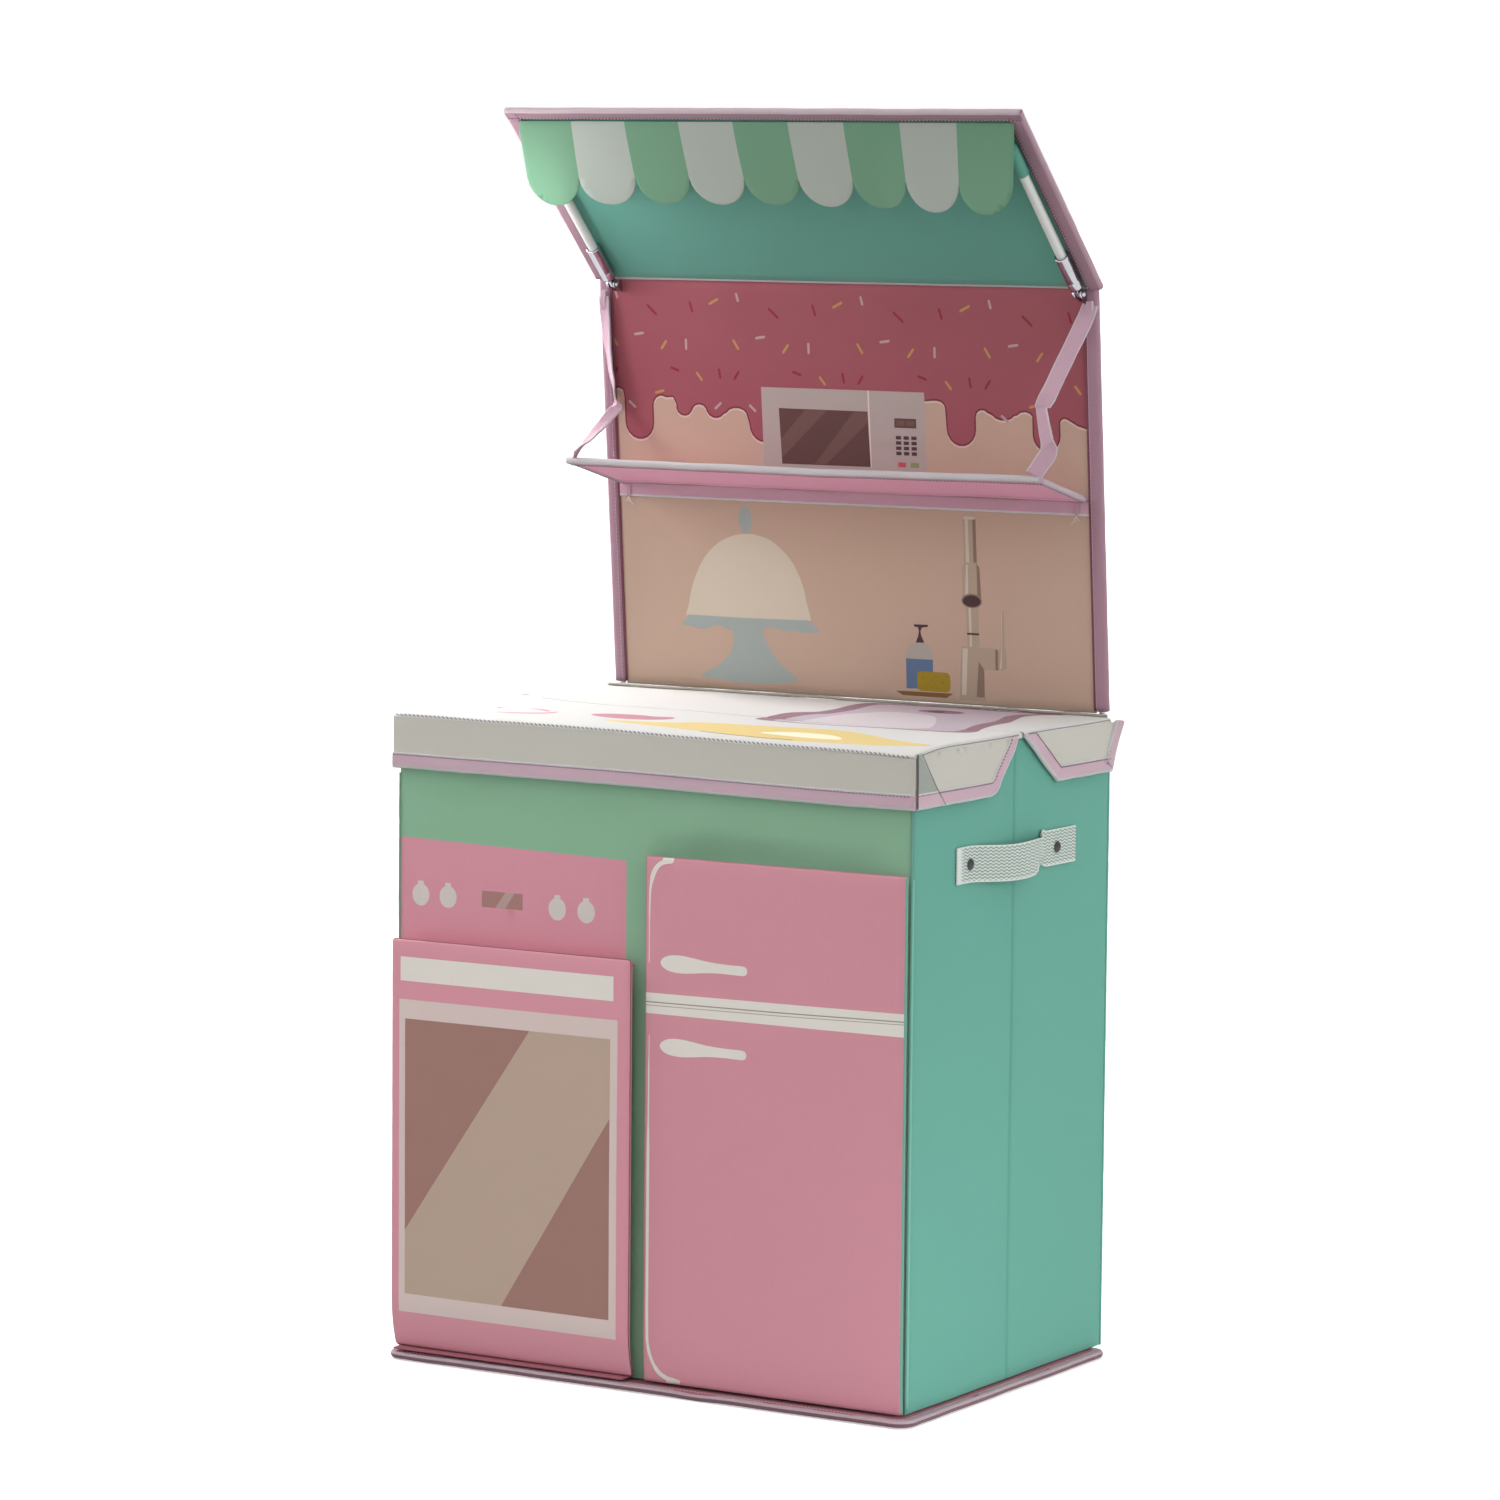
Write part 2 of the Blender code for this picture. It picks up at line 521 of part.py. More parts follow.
def make_strut(side, sign):
    """White tube in a chrome ferrule with a pinned tongue; its far end sits in a sewn pocket."""
    x = sign * STRUT_X
    outward = (0, -1, 0)
    ferrule_start, ferrule_end, seat = 0.0075, 0.0455, 0.0110
    floor, length = seat - ferrule_start, ferrule_end - ferrule_start
    profile = ((0, floor), (0.0045, floor), (0.0045, length), (0.00525, length), (0.00525, 0), (0, 0))
    ferrule = turned(f"ferrule_{side}", profile, CHROME, (x, -ferrule_start, 0), outward, CANOPY, world=False)
    tongue = board(f"tongue_{side}", (x - 0.0017, -0.0090, -0.0030), (x + 0.0017, 0, 0.0030), None, CANOPY,
                   world=False, round_edge=0.0, collection=CUTTERS)
    eye = rod(f"tongue_eye_{side}", (x - 0.0017, 0, 0), (x + 0.0017, 0, 0), 0.0038, None, CANOPY, world=False,
              collection=CUTTERS)
    hole = rod(f"tongue_hole_{side}", (x - 0.01, 0, 0), (x + 0.01, 0, 0), 0.0017, None, CANOPY, world=False, sides=12,
               collection=CUTTERS)
    boolean(ferrule, tongue, "UNION")
    boolean(ferrule, eye, "UNION")
    boolean(ferrule, hole, "DIFFERENCE")
    tube_start, tube_end = seat + GAP, 0.166
    length = tube_end - tube_start
    tube = ((0.0033, 0), (0.0033, length), (0.00425, length), (0.00425, 0))
    turned(f"strut_{side}", tube, TUBE, (x, -tube_start, 0), outward, CANOPY, world=False)
    floor, depth, far_end = 0.003, 0.039, 0.172
    pocket = ((0, floor), (0.0046, floor), (0.0046, depth), (0.0055, depth), (0.0055, 0), (0, 0))
    turned(f"strut_pocket_{side}", pocket, TEAL, (x, -far_end, 0), (0, 1, 0), CANOPY, world=False)


def make_valance():
    """Striped cloth with a round-ended scallop at each stripe, hanging plumb from the canopy's front edge."""
    bpy.context.view_layer.update()
    edge = CANOPY.matrix_world @ Vector((0, -CANOPY_LENGTH + 0.0095, 0.0050))
    top, low = edge.z - 0.0018, edge.z - 0.0765
    left, right = -0.2395, 0.2415
    stripe = (right - left) / STRIPES
    steps = 8
    outline = [(left, top)]
    for i in range(STRIPES):
        centre = left + (i + 0.5) * stripe
        for k in range(steps + 1):
            turn = pi * k / steps
            outline.append((centre - stripe / 2 * cos(turn), low + 0.020 * (1 - sin(turn))))
    outline.append((right, top))
    clean = [outline[0]]
    for point in outline[1:]:
        if (Vector(point) - Vector(clean[-1])).length > 0.0005:
            clean.append(point)
    along_y(list(reversed(clean)), edge.y - 0.0003, edge.y + 0.0009, "valance", STRIPE, CANOPY)


# Bodies, each an empty on its own joint axis, nested as the joints are -----------------------------------
BOX = frame("box", (0, 0, 0))
SIDE_FRAMES = {}
for side_name, side_sign in SIDES:
    rear_hinge = (side_sign * (SIDE_X - WALL), SIDE_REAR_Y, 0)
    fold = (side_sign * SIDE_X, SIDE_FOLD_Y, 0)
    rear_half = frame(f"side_{side_name}_rear", rear_hinge, BOX)
    SIDE_FRAMES[side_name] = (rear_half, frame(f"side_{side_name}_front", fold, rear_half))
FRONT = frame("front", (-(SIDE_X - WALL), SIDE_FRONT_Y, 0), SIDE_FRAMES["left"][1])
OVEN = frame("oven", (0, OVEN_FRONT_Y, OVEN_LOW_Z), FRONT)
FRIDGE = frame("fridge", (FRIDGE_HIGH_X, DOOR_BACK_Y, 0), FRONT)
LID_REAR = frame("lid_rear", LID_HINGE, BOX)
LID_FRONT = frame("lid_front", (0, LID_FOLD_Y, LID_TOP), LID_REAR)
BACKDROP = frame("backdrop", BACKDROP_FOOT, BOX, BACKDROP_LEAN)
SHELF = frame("shelf", BACKDROP.matrix_world @ SHELF_PIVOT, BACKDROP, -SHELF_TILT)
CANOPY = frame("canopy", BACKDROP.matrix_world @ CANOPY_PIVOT, BACKDROP, -CANOPY_RISE)

make_base()
make_rear()
for side_name, side_sign in SIDES:
    make_side(side_name, side_sign, *SIDE_FRAMES[side_name])
make_front_wall()
make_oven_door()
make_fridge_door()
make_lid()
make_backdrop()
make_shelf()
make_canopy()
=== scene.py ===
"""Looks of the folding toy kitchen.

A board-stiffened fabric storage box whose front is printed as a cooker and a fridge with two opening
doors, a folding worktop lid with a skirt, a printed backdrop on two poles with a fabric shelf, and a
teal canopy with a scalloped valance on two hinged tubes. Lengths are in millimetres up to the last
step of each maker, where they become metres.
"""
import math

import bpy
import numpy as np
from mathutils import Matrix, Vector, noise
from mathutils.geometry import delaunay_2d_cdt


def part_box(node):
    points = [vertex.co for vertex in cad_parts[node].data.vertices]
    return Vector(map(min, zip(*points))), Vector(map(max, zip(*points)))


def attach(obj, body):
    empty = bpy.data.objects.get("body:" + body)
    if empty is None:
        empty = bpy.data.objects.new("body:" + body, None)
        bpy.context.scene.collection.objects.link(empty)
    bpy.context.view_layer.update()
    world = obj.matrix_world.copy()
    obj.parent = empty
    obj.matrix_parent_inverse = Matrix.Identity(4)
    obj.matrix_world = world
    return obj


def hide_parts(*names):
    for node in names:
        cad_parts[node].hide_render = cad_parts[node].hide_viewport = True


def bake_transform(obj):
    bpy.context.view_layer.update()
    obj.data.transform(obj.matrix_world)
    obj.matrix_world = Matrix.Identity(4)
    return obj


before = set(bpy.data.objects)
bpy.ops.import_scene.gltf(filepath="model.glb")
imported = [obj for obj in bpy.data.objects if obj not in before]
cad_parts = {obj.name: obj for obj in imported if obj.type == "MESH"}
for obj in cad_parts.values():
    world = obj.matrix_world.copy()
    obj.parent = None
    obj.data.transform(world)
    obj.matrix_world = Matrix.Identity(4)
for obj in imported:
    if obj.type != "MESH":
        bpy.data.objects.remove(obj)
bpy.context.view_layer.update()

MM = 0.001

# --- Colours, as sRGB bytes ---
PALETTE = {
    # Keys ending in _edge are paler tints painted along tape edges as highlights.
    "mint": (146, 195, 160), "teal": (98, 174, 156), "teal_seam": (128, 196, 180), "control_pink": (230, 157, 173),
    "oven_pink": (233, 160, 175), "fridge_pink": (228, 157, 172), "cream": (246, 240, 231),
    "frame_cream": (234, 214, 208), "knob": (228, 219, 212), "display": (178, 132, 124),
    "display_glint": (196, 166, 160), "glass_dark": (172, 128, 118), "glass_light": (202, 177, 158),
    "door_line": (156, 150, 140), "lid_white": (220, 219, 216), "skirt": (210, 207, 197),
    "skirt_tab_reflected_teal": (196, 204, 194), "binding_pink": (253, 216, 231), "binding_pink_edge": (255, 253, 255),
    "trim_pink": (188, 148, 162), "trim_pink_edge": (240, 216, 226), "stitch_pink": (126, 82, 104),
    "strap_pink": (246, 200, 220), "strap_pink_edge": (254, 244, 250), "casing_pink": (208, 160, 180),
    "seam_red": (150, 78, 100), "shelf_pink": (250, 176, 206), "base_pink": (164, 94, 110),
    "base_trim": (212, 180, 193), "base_trim_edge": (226, 198, 210), "sink": (150, 112, 126),
    "sink_light": (216, 208, 212), "sink_deep": (96, 62, 70), "yolk": (232, 206, 132),
    "yolk_light": (250, 244, 214), "berry": (196, 132, 146), "ring": (226, 150, 165), "icing": (164, 83, 94),
    "icing_edge": (126, 40, 57), "tile": (204, 174, 154), "casing_pink_edge": (232, 190, 210),
    "band_pink": (252, 198, 220), "fold_crease_shade": (120, 116, 122), "thread_and_shadow_grey": (104, 104, 102),
    "webbing_groove_shade": (138, 168, 156), "sprinkle_red": (150, 36, 56), "sprinkle_yellow": (196, 146, 86),
    "sprinkle_white": (196, 160, 162), "appliance": (188, 174, 168), "window": (97, 63, 59),
    "window_glint": (115, 82, 75), "screen": (96, 66, 62), "key": (76, 46, 52), "button_red": (206, 84, 92),
    "button_green": (146, 158, 104), "grey_plate": (170, 180, 176), "dome": (220, 206, 186), "tap": (186, 165, 144),
    "tap_light": (214, 200, 184), "tap_dark": (144, 120, 104), "nozzle": (74, 44, 48), "soap": (96, 120, 156),
    "soap_label": (184, 176, 164), "pump": (70, 42, 52), "sponge": (172, 142, 16), "sponge_hole": (156, 122, 22),
    "tray": (136, 96, 54), "stripe_green": (103, 148, 118), "stripe_white": (166, 174, 165),
    "webbing": (240, 246, 241), "piping": (198, 192, 176), "thread": (232, 222, 220), "touch_tape": (214, 206, 204),
    "lining": (206, 202, 196), "canopy_teal_shaded": (90, 158, 141), "hinge_pink": (168, 92, 112),
    "hinge_gap_shade": (168, 90, 106), "base_underside_shade": (146, 106, 118), "sink_mid": (196, 182, 192),
    "tile_light": (226, 203, 190), "shelf_tape": (236, 190, 210), "shelf_tape_edge": (244, 236, 240),
}


def linear(name, gain=1.0):
    """A palette colour as linear RGBA."""
    channels = (c / 255 for c in PALETTE[name])
    return tuple(gain * (c / 12.92 if c <= 0.04045 else ((c + 0.055) / 1.055) ** 2.4) for c in channels) + (1.0,)


# --- Materials ---
def new_material(name):
    material = bpy.data.materials.new(name)
    material.use_nodes = True
    tree = material.node_tree
    return material, tree, tree.nodes["Principled BSDF"]


def feed(tree, node, inputs):
    """Sets a node's inputs, each to a value or to another node's output."""
    for name, value in inputs.items():
        if isinstance(value, bpy.types.NodeSocket):
            tree.links.new(value, node.inputs[name])
        else:
            node.inputs[name].default_value = value
    return node


def new_node(tree, kind, inputs):
    return feed(tree, tree.nodes.new("ShaderNode" + kind), inputs)


def math_node(tree, operation, a, b):
    node = tree.nodes.new("ShaderNodeMath")
    node.operation = operation
    return feed(tree, node, {0: a, 1: b}).outputs[0]


def scaled(tree, colour, factor):
    node = tree.nodes.new("ShaderNodeVectorMath")
    node.operation = "SCALE"
    return feed(tree, node, {0: colour, "Scale": factor}).outputs[0]


def noise_node(tree, coordinates, scale, detail=2.0, roughness=0.5, distortion=0.0):
    return new_node(tree, "TexNoise", {"Vector": coordinates, "Scale": scale, "Detail": detail,
                                       "Roughness": roughness, "Distortion": distortion}).outputs["Fac"]


def wave_node(tree, coordinates, direction, pitch):
    """Slightly uneven bands across the direction, one every pitch metres."""
    node = tree.nodes.new("ShaderNodeTexWave")
    node.bands_direction = direction
    return feed(tree, node, {"Vector": coordinates, "Scale": 2 * math.pi / 20 / pitch, "Distortion": 0.6,
                             "Detail": 1.0}).outputs["Fac"]


def remap(tree, value, low, high, start=0.0, end=1.0):
    return new_node(tree, "MapRange", {"Value": value, "From Min": start, "From Max": end,
                                       "To Min": low, "To Max": high}).outputs["Result"]


def bump_node(tree, height, strength, distance, under=None):
    inputs = {"Height": height, "Strength": strength, "Distance": distance}
    return new_node(tree, "Bump", inputs if under is None else {**inputs, "Normal": under}).outputs[0]


def cloth_material(name, pitch=0.9, weave=0.25, crumple=0.5, mottle=0.07, roughness=0.72, sheen=0.12, worn=0.05):
    """Printed fabric: the mesh's own tint, mottled, with a weave, creases and a little fibre sheen."""
    material, tree, shader = new_material(name)
    cloth = tree.nodes.new("ShaderNodeUVMap")
    cloth.uv_map = "cloth"
    uv = cloth.outputs["UV"]
    tint = tree.nodes.new("ShaderNodeVertexColor")
    tint.layer_name = "tint"

    threads = math_node(tree, "MULTIPLY", *(wave_node(tree, uv, direction, pitch * MM) for direction in "XY"))
    fibre = noise_node(tree, uv, 900.0, 3.0, 0.6)
    cloudy = noise_node(tree, uv, 45.0, 4.0, 0.6)

    # Colour: broad fading from handling, finer clouding of the dye, and the threads showing through.
    shade = remap(tree, noise_node(tree, uv, 9.0, 3.0, 0.55, 0.6), 1 - mottle, 1 + mottle)
    for layer, strength in ((cloudy, 0.5 * mottle), (threads, worn), (fibre, 0.6 * worn)):
        shade = math_node(tree, "ADD", shade, remap(tree, layer, -strength, strength))

    creases = bump_node(tree, noise_node(tree, uv, 26.0, 3.0, 0.5, 0.9), crumple, 2 * MM)
    relief = math_node(tree, "ADD", threads, math_node(tree, "MULTIPLY", fibre, 0.7))
    feed(tree, shader, {
        "Base Color": scaled(tree, tint.outputs["Color"], shade),
        "Roughness": remap(tree, cloudy, roughness - 0.08, roughness + 0.08),
        "Sheen Weight": sheen, "Sheen Roughness": 0.5, "Specular IOR Level": 0.32,
        "Normal": bump_node(tree, relief, weave, 0.3 * MM, creases)})
    return material


def solid_material(name, colour, roughness, metallic=0.0, coat=0.0, bump=0.1):
    """Metal or moulded plastic, with fine scratches and a slightly uneven gloss."""
    material, tree, shader = new_material(name)
    place = tree.nodes.new("ShaderNodeTexCoord").outputs["Object"]
    fine = noise_node(tree, place, 300.0, 3.0, 0.6)
    mix = tree.nodes.new("ShaderNodeMix")
    mix.data_type = "RGBA"
    dark, pale = (tuple(min(1.0, c * gain) for c in colour) + (1.0,) for gain in (0.96, 1.04))
    feed(tree, mix, {0: noise_node(tree, place, 60.0, 3.0), 6: dark, 7: pale})
    feed(tree, shader, {
        "Base Color": mix.outputs[2], "Roughness": remap(tree, fine, roughness * 0.75, roughness * 1.3),
        "Metallic": metallic, "Coat Weight": coat, "Coat Roughness": 0.12,
        "Normal": bump_node(tree, fine, bump, 0.2 * MM)})
    return material


CLOTH = cloth_material("printed_cloth")
SOFT_CLOTH = cloth_material("canopy_cloth", crumple=0.35, mottle=0.05)
TAPE = cloth_material("binding_tape", pitch=1.1, weave=0.6, crumple=0.7, mottle=0.10, worn=0.09, sheen=0.25)
WEBBING = cloth_material("woven_webbing", pitch=1.4, weave=0.7, crumple=0.2, mottle=0.04, worn=0.07, roughness=0.8)
THREAD = cloth_material("sewing_thread", pitch=0.4, weave=0.5, crumple=0.1, mottle=0.06, roughness=0.6)
CHROME = solid_material("chrome", (0.42, 0.42, 0.45), 0.13, metallic=1.0, bump=0.05)
NICKEL = solid_material("dark_nickel", (0.055, 0.055, 0.06), 0.13, metallic=1.0)
TUBE = solid_material("pearl_tube", (0.68, 0.71, 0.69), 0.34, coat=0.35, bump=0.08)
STEEL = solid_material("pole_steel", (0.72, 0.73, 0.75), 0.25, metallic=1.0)


# --- Flat shapes: print outlines, in millimetres ---
def rectangle(x0, y0, x1, y1):
    return [(x0, y0), (x1, y0), (x1, y1), (x0, y1)]


def arc(cx, cy, rx, ry, start, end, count):
    """Points round an ellipse, from the start angle to the end angle in degrees."""
    angles = (math.radians(start + (end - start) * i / count) for i in range(count + 1))
    return [(cx + rx * math.cos(a), cy + ry * math.sin(a)) for a in angles]


def ellipse(cx, cy, rx, ry, count=28):
    return arc(cx, cy, rx, ry, 0, 360, count)[:-1]


def rounded(x0, y0, x1, y1, radius, count=6):
    r = radius
    return (arc(x1 - r, y0 + r, r, r, -90, 0, count) + arc(x1 - r, y1 - r, r, r, 0, 90, count)
            + arc(x0 + r, y1 - r, r, r, 90, 180, count) + arc(x0 + r, y0 + r, r, r, 180, 270, count))


def curve(points, closed=True, steps=6):
    """A smooth line through the points (Catmull-Rom)."""
    n = len(points)
    out = []
    for i in range(n if closed else n - 1):
        if closed:
            a, b, c, d = (points[(i + k) % n] for k in (-1, 0, 1, 2))
        else:
            a, b, c, d = points[max(i - 1, 0)], points[i], points[i + 1], points[min(i + 2, n - 1)]
        for j in range(steps):
            t = j / steps
            out.append(tuple(
                0.5 * (2 * q + (r - p) * t + (2 * p - 5 * q + 4 * r - s) * t * t + (3 * q - p - 3 * r + s) * t ** 3)
                for p, q, r, s in zip(a, b, c, d)))
    return out if closed else out + [tuple(points[-1])]


def stroke(points, widths):
    """A line drawn as a closed shape; widths is one width or one for each point."""
    if not isinstance(widths, (list, tuple)):
        widths = [widths] * len(points)
    left, right = [], []
    for i, (x, y) in enumerate(points):
        ax, ay = points[max(i - 1, 0)]
        bx, by = points[min(i + 1, len(points) - 1)]
        length = math.hypot(bx - ax, by - ay) or 1.0
        nx, ny = -(by - ay) / length * widths[i] / 2, (bx - ax) / length * widths[i] / 2
        left.append((x + nx, y + ny))
        right.append((x - nx, y - ny))
    return right + left[::-1]


def resample(points, step, closed=True):
    """The same line with no two points further apart than step."""
    out = []
    for i in range(len(points) if closed else len(points) - 1):
        (ax, ay), (bx, by) = points[i], points[(i + 1) % len(points)]
        count = max(1, math.ceil(math.hypot(bx - ax, by - ay) / step))
        out += [(ax + (bx - ax) * j / count, ay + (by - ay) * j / count) for j in range(count)]
    return out if closed else out + [tuple(points[-1])]


def inset(points, distance):
    """A closed counter-clockwise outline moved inwards."""
    out = []
    for i, (x, y) in enumerate(points):
        (ax, ay), (bx, by) = points[i - 1], points[(i + 1) % len(points)]
        la, lb = math.hypot(x - ax, y - ay) or 1.0, math.hypot(bx - x, by - y) or 1.0
        n1, n2 = (-(y - ay) / la, (x - ax) / la), (-(by - y) / lb, (bx - x) / lb)
        k = distance / max(0.35, 1 + n1[0] * n2[0] + n1[1] * n2[1])
        out.append((x + (n1[0] + n2[0]) * k, y + (n1[1] + n2[1]) * k))
    return out


def inside(points, polygon):
    """Which of the points lie inside the polygon."""
    p, q = np.asarray(points, float), np.asarray(polygon, float)
    x, y = p[:, :1], p[:, 1:]
    x1, y1 = q[:, 0], q[:, 1]
    x2, y2 = np.roll(x1, -1), np.roll(y1, -1)
    with np.errstate(divide="ignore", invalid="ignore"):
        cut = x1 + (x2 - x1) * (y - y1) / np.where(y2 == y1, 1e-12, y2 - y1)
    return (((y1 > y) != (y2 > y)) & (x < cut)).sum(axis=1) % 2 == 1


def wobble(x, y, seed, size):
    """A smooth value of about -1 to 1 over the cloth; size is the width of a swell in millimetres."""
    return noise.noise(Vector((x / size, y / size, seed * 7.31)))


def bell(distance, width):
    """A smooth hump: 1 at no distance, falling away over the width."""
    return math.exp(-(distance / width) ** 2)


# --- Meshes ---
def make_object(name, points, faces, uvs, tints, material):
    """An object from points in metres, with a cloth UV for each point and a tint for each face."""
    mesh = bpy.data.meshes.new(name)
    mesh.from_pydata([tuple(p) for p in points], [], faces)
    layer = mesh.uv_layers.new(name="cloth")
    colours = mesh.color_attributes.new("tint", "FLOAT_COLOR", "CORNER")
    loops = np.empty(len(mesh.loops), dtype=np.int64)
    mesh.loops.foreach_get("vertex_index", loops)
    layer.data.foreach_set("uv", np.asarray(uvs, dtype=np.float32)[loops].ravel())
    per_loop = np.repeat(np.asarray(tints, dtype=np.float32), [len(f) for f in faces], axis=0)
    colours.data.foreach_set("color", per_loop.ravel())
    mesh.materials.append(material)
    mesh.shade_smooth()
    mesh.validate()
    piece = bpy.data.objects.new(name, mesh)
    bpy.context.scene.collection.objects.link(piece)
    return piece


def grid_inside(ring, step):
    """The points of a staggered grid that lie inside a closed line, clear of the line itself."""
    xs, ys = zip(*ring)
    wide, tall = max(xs) - min(xs), max(ys) - min(ys)
    nx, ny = max(2, round(wide / step)), max(2, round(tall / step))
    grid = [(min(xs) + wide * (i + 0.5 * (j % 2)) / nx, min(ys) + tall * j / ny)
            for i in range(nx + 1) for j in range(1, ny)]
    return [p for p, kept in zip(grid, inside(grid, inset(ring, 0.3 * step))) if kept]


def faces_inside(faces, points, outline):
    """The triangles whose centres lie inside the outline, and those centres."""
    centres = [(sum(points[i][0] for i in f) / 3, sum(points[i][1] for i in f) / 3) for f in faces]
    kept = inside(centres, outline)
    return [tuple(f) for f, k in zip(faces, kept) if k], [c for c, k in zip(centres, kept) if k]


def triangulate(outline, shapes, creases, step):
    """Triangles filling the outline, cut along every shape and crease: points, triangles, their centres."""
    coordinates, edges = [], []
    rings = [(outline, True)] + [(resample(shape, step), True) for shape in shapes]
    for run, closed in rings + [(resample(line, step, closed=False), False) for line in creases]:
        first, count = len(coordinates), len(run)
        coordinates += [Vector(p) for p in run]
        edges += [(first + i, first + (i + 1) % count) for i in range(count if closed else count - 1)]
    lines = np.array([tuple(p) for p in coordinates])
    grid = grid_inside(outline, step)
    clear = [np.min(np.hypot(*(lines - p).T)) > 0.35 * step for p in np.array(grid)]
    coordinates += [Vector(p) for p, k in zip(grid, clear) if k]
    points, _, faces, *_ = delaunay_2d_cdt(coordinates, edges, [], 0, 1e-4)
    points = [tuple(p) for p in points]
    faces, centres = faces_inside(faces, points, outline)
    used = sorted({i for f in faces for i in f})
    number = {old: new for new, old in enumerate(used)}
    return [points[i] for i in used], [tuple(number[i] for i in f) for f in faces], centres


def triangulate_ring(ring, step):
    """Triangles filling a ring whose points keep their numbers, with a grid of points inside it."""
    flat = list(ring) + grid_inside(ring, step)
    edges = [(i, (i + 1) % len(ring)) for i in range(len(ring))]
    points, _, faces, origins, *_ = delaunay_2d_cdt([Vector(p) for p in flat], edges, [], 0, 1e-6)
    number = []
    for point, origin in zip(points, origins):
        if not origin:
            flat.append(tuple(point))
        number.append(min(origin) if origin else len(flat) - 1)
    return flat, faces_inside([tuple(number[i] for i in f) for f in faces], flat, ring)[0]


def boundary(faces):
    """The outer edge of a filled outline: point numbers in order, and the face along each edge."""
    owner = {(f[i], f[(i + 1) % 3]): number for number, f in enumerate(faces) for i in range(3)}
    following = {a: (b, number) for (a, b), number in owner.items() if (b, a) not in owner}
    loop = [max(following)]
    while following[loop[-1]][0] != loop[0]:
        loop.append(following[loop[-1]][0])
    return loop, [following[i][1] for i in loop]


def printed_sheet(name, outline, prints, ground, place, rim, step=9.0, creases=(), back=None, material=CLOTH):
    """A closed sheet with a print on its face.

    outline and prints are in the sheet's own (u, v); prints are (shape, colour) with later ones on
    top. place(u, v, depth) gives the point in metres. rim is (inset, depth) from the face's edge, over
    the side, to the back's edge. back is the colour of the back, or None for the ground.
    """
    face_ring = inset(resample(outline, step), rim[0][0])
    flat, faces, centres = triangulate(face_ring, [s for s, _ in prints], creases, step)
    colour = np.tile(np.array(linear(ground)), (len(faces), 1))
    for shape, tint in prints:
        colour[inside(centres, shape)] = linear(tint)
    ring, owners = boundary(faces)
    points = [place(u, v, rim[0][1]) for u, v in flat]
    uvs = [(u * MM, v * MM) for u, v in flat]
    tints = list(colour)
    edge = [flat[i] for i in ring]
    for distance, depth in rim[1:]:
        outer = inset(edge, distance - rim[0][0])
        after = [len(points) + i for i in range(len(outer))]
        points += [place(u, v, depth) for u, v in outer]
        uvs += [(u * MM, (v + depth) * MM) for u, v in outer]
        for i in range(len(ring)):
            j = (i + 1) % len(ring)
            faces.append((ring[i], after[i], after[j], ring[j]))
            tints.append(colour[owners[i]])
        ring = after
    flat, fill = triangulate_ring(outer, step)
    number = dict(enumerate(ring))
    for i in sorted({i for f in fill for i in f if i >= len(outer)}):
        number[i] = len(points)
        u, v = flat[i]
        points.append(place(u, v, depth))
        uvs.append((u * MM, v * MM))
    for f in fill:
        faces.append(tuple(number[i] for i in f[::-1]))
        tints.append(linear(back or ground))
    return make_object(name, points, faces, uvs, tints, material)


def in_metres(profile):
    return [(a * MM, b * MM) for a, b in profile]


def round_profile(a, b, count):
    """An oval profile in metres, from its half sizes in millimetres."""
    return in_metres(arc(0, 0, a, b, 0, 360, count)[:-1])


def sweep(name, path, ups, profile, tint, material, closed=False, bulge=None, tints=None):
    """A closed profile carried along a path.

    path is points in metres; ups is one direction or one for each point; profile is (a, b) in metres
    with a along the up direction and b across it. bulge(i, j, a, b) may change a profile point.
    """
    n, m = len(path), len(profile)
    if not isinstance(ups, list):
        ups = [ups] * n
    points, uvs, faces, colours = [], [], [], []
    run = 0.0
    around = [0.0]
    for (a, b), (c, d) in zip(profile, profile[1:]):
        around.append(around[-1] + math.hypot(c - a, d - b))
    for i in range(n):
        before = path[i - 1] if (closed or i) else None
        after = path[(i + 1) % n] if (closed or i < n - 1) else None
        t_in = (path[i] - before).normalized() if before is not None else (after - path[i]).normalized()
        t_out = (after - path[i]).normalized() if after is not None else t_in
        tangent = (t_in + t_out).normalized()
        up = (ups[i] - tangent * ups[i].dot(tangent)).normalized()
        across = tangent.cross(up)
        bend = t_out - t_in
        mitre = 1 / max(0.45, tangent.dot(t_in)) - 1
        size = bend.length or 1.0
        wide, tall = 1 + mitre * abs(bend.dot(across)) / size, 1 + mitre * abs(bend.dot(up)) / size
        if i:
            run += (path[i] - path[i - 1]).length
        for j, (a, b) in enumerate(profile):
            if bulge:
                a, b = bulge(i, j, a, b)
            points.append(path[i] + up * (a * tall) + across * (b * wide))
            uvs.append((run, around[j]))
    base = linear(tint)
    for i in range(n if closed else n - 1):
        k = (i + 1) % n
        for j in range(m):
            l = (j + 1) % m
            faces.append((i * m + j, i * m + l, k * m + l, k * m + j))
            colours.append(linear(tints[j]) if tints else base)
    if not closed:
        faces.append(tuple(range(m))[::-1])
        faces.append(tuple((n - 1) * m + j for j in range(m)))
        colours += [base, base]
    return make_object(name, points, faces, uvs, colours, material)


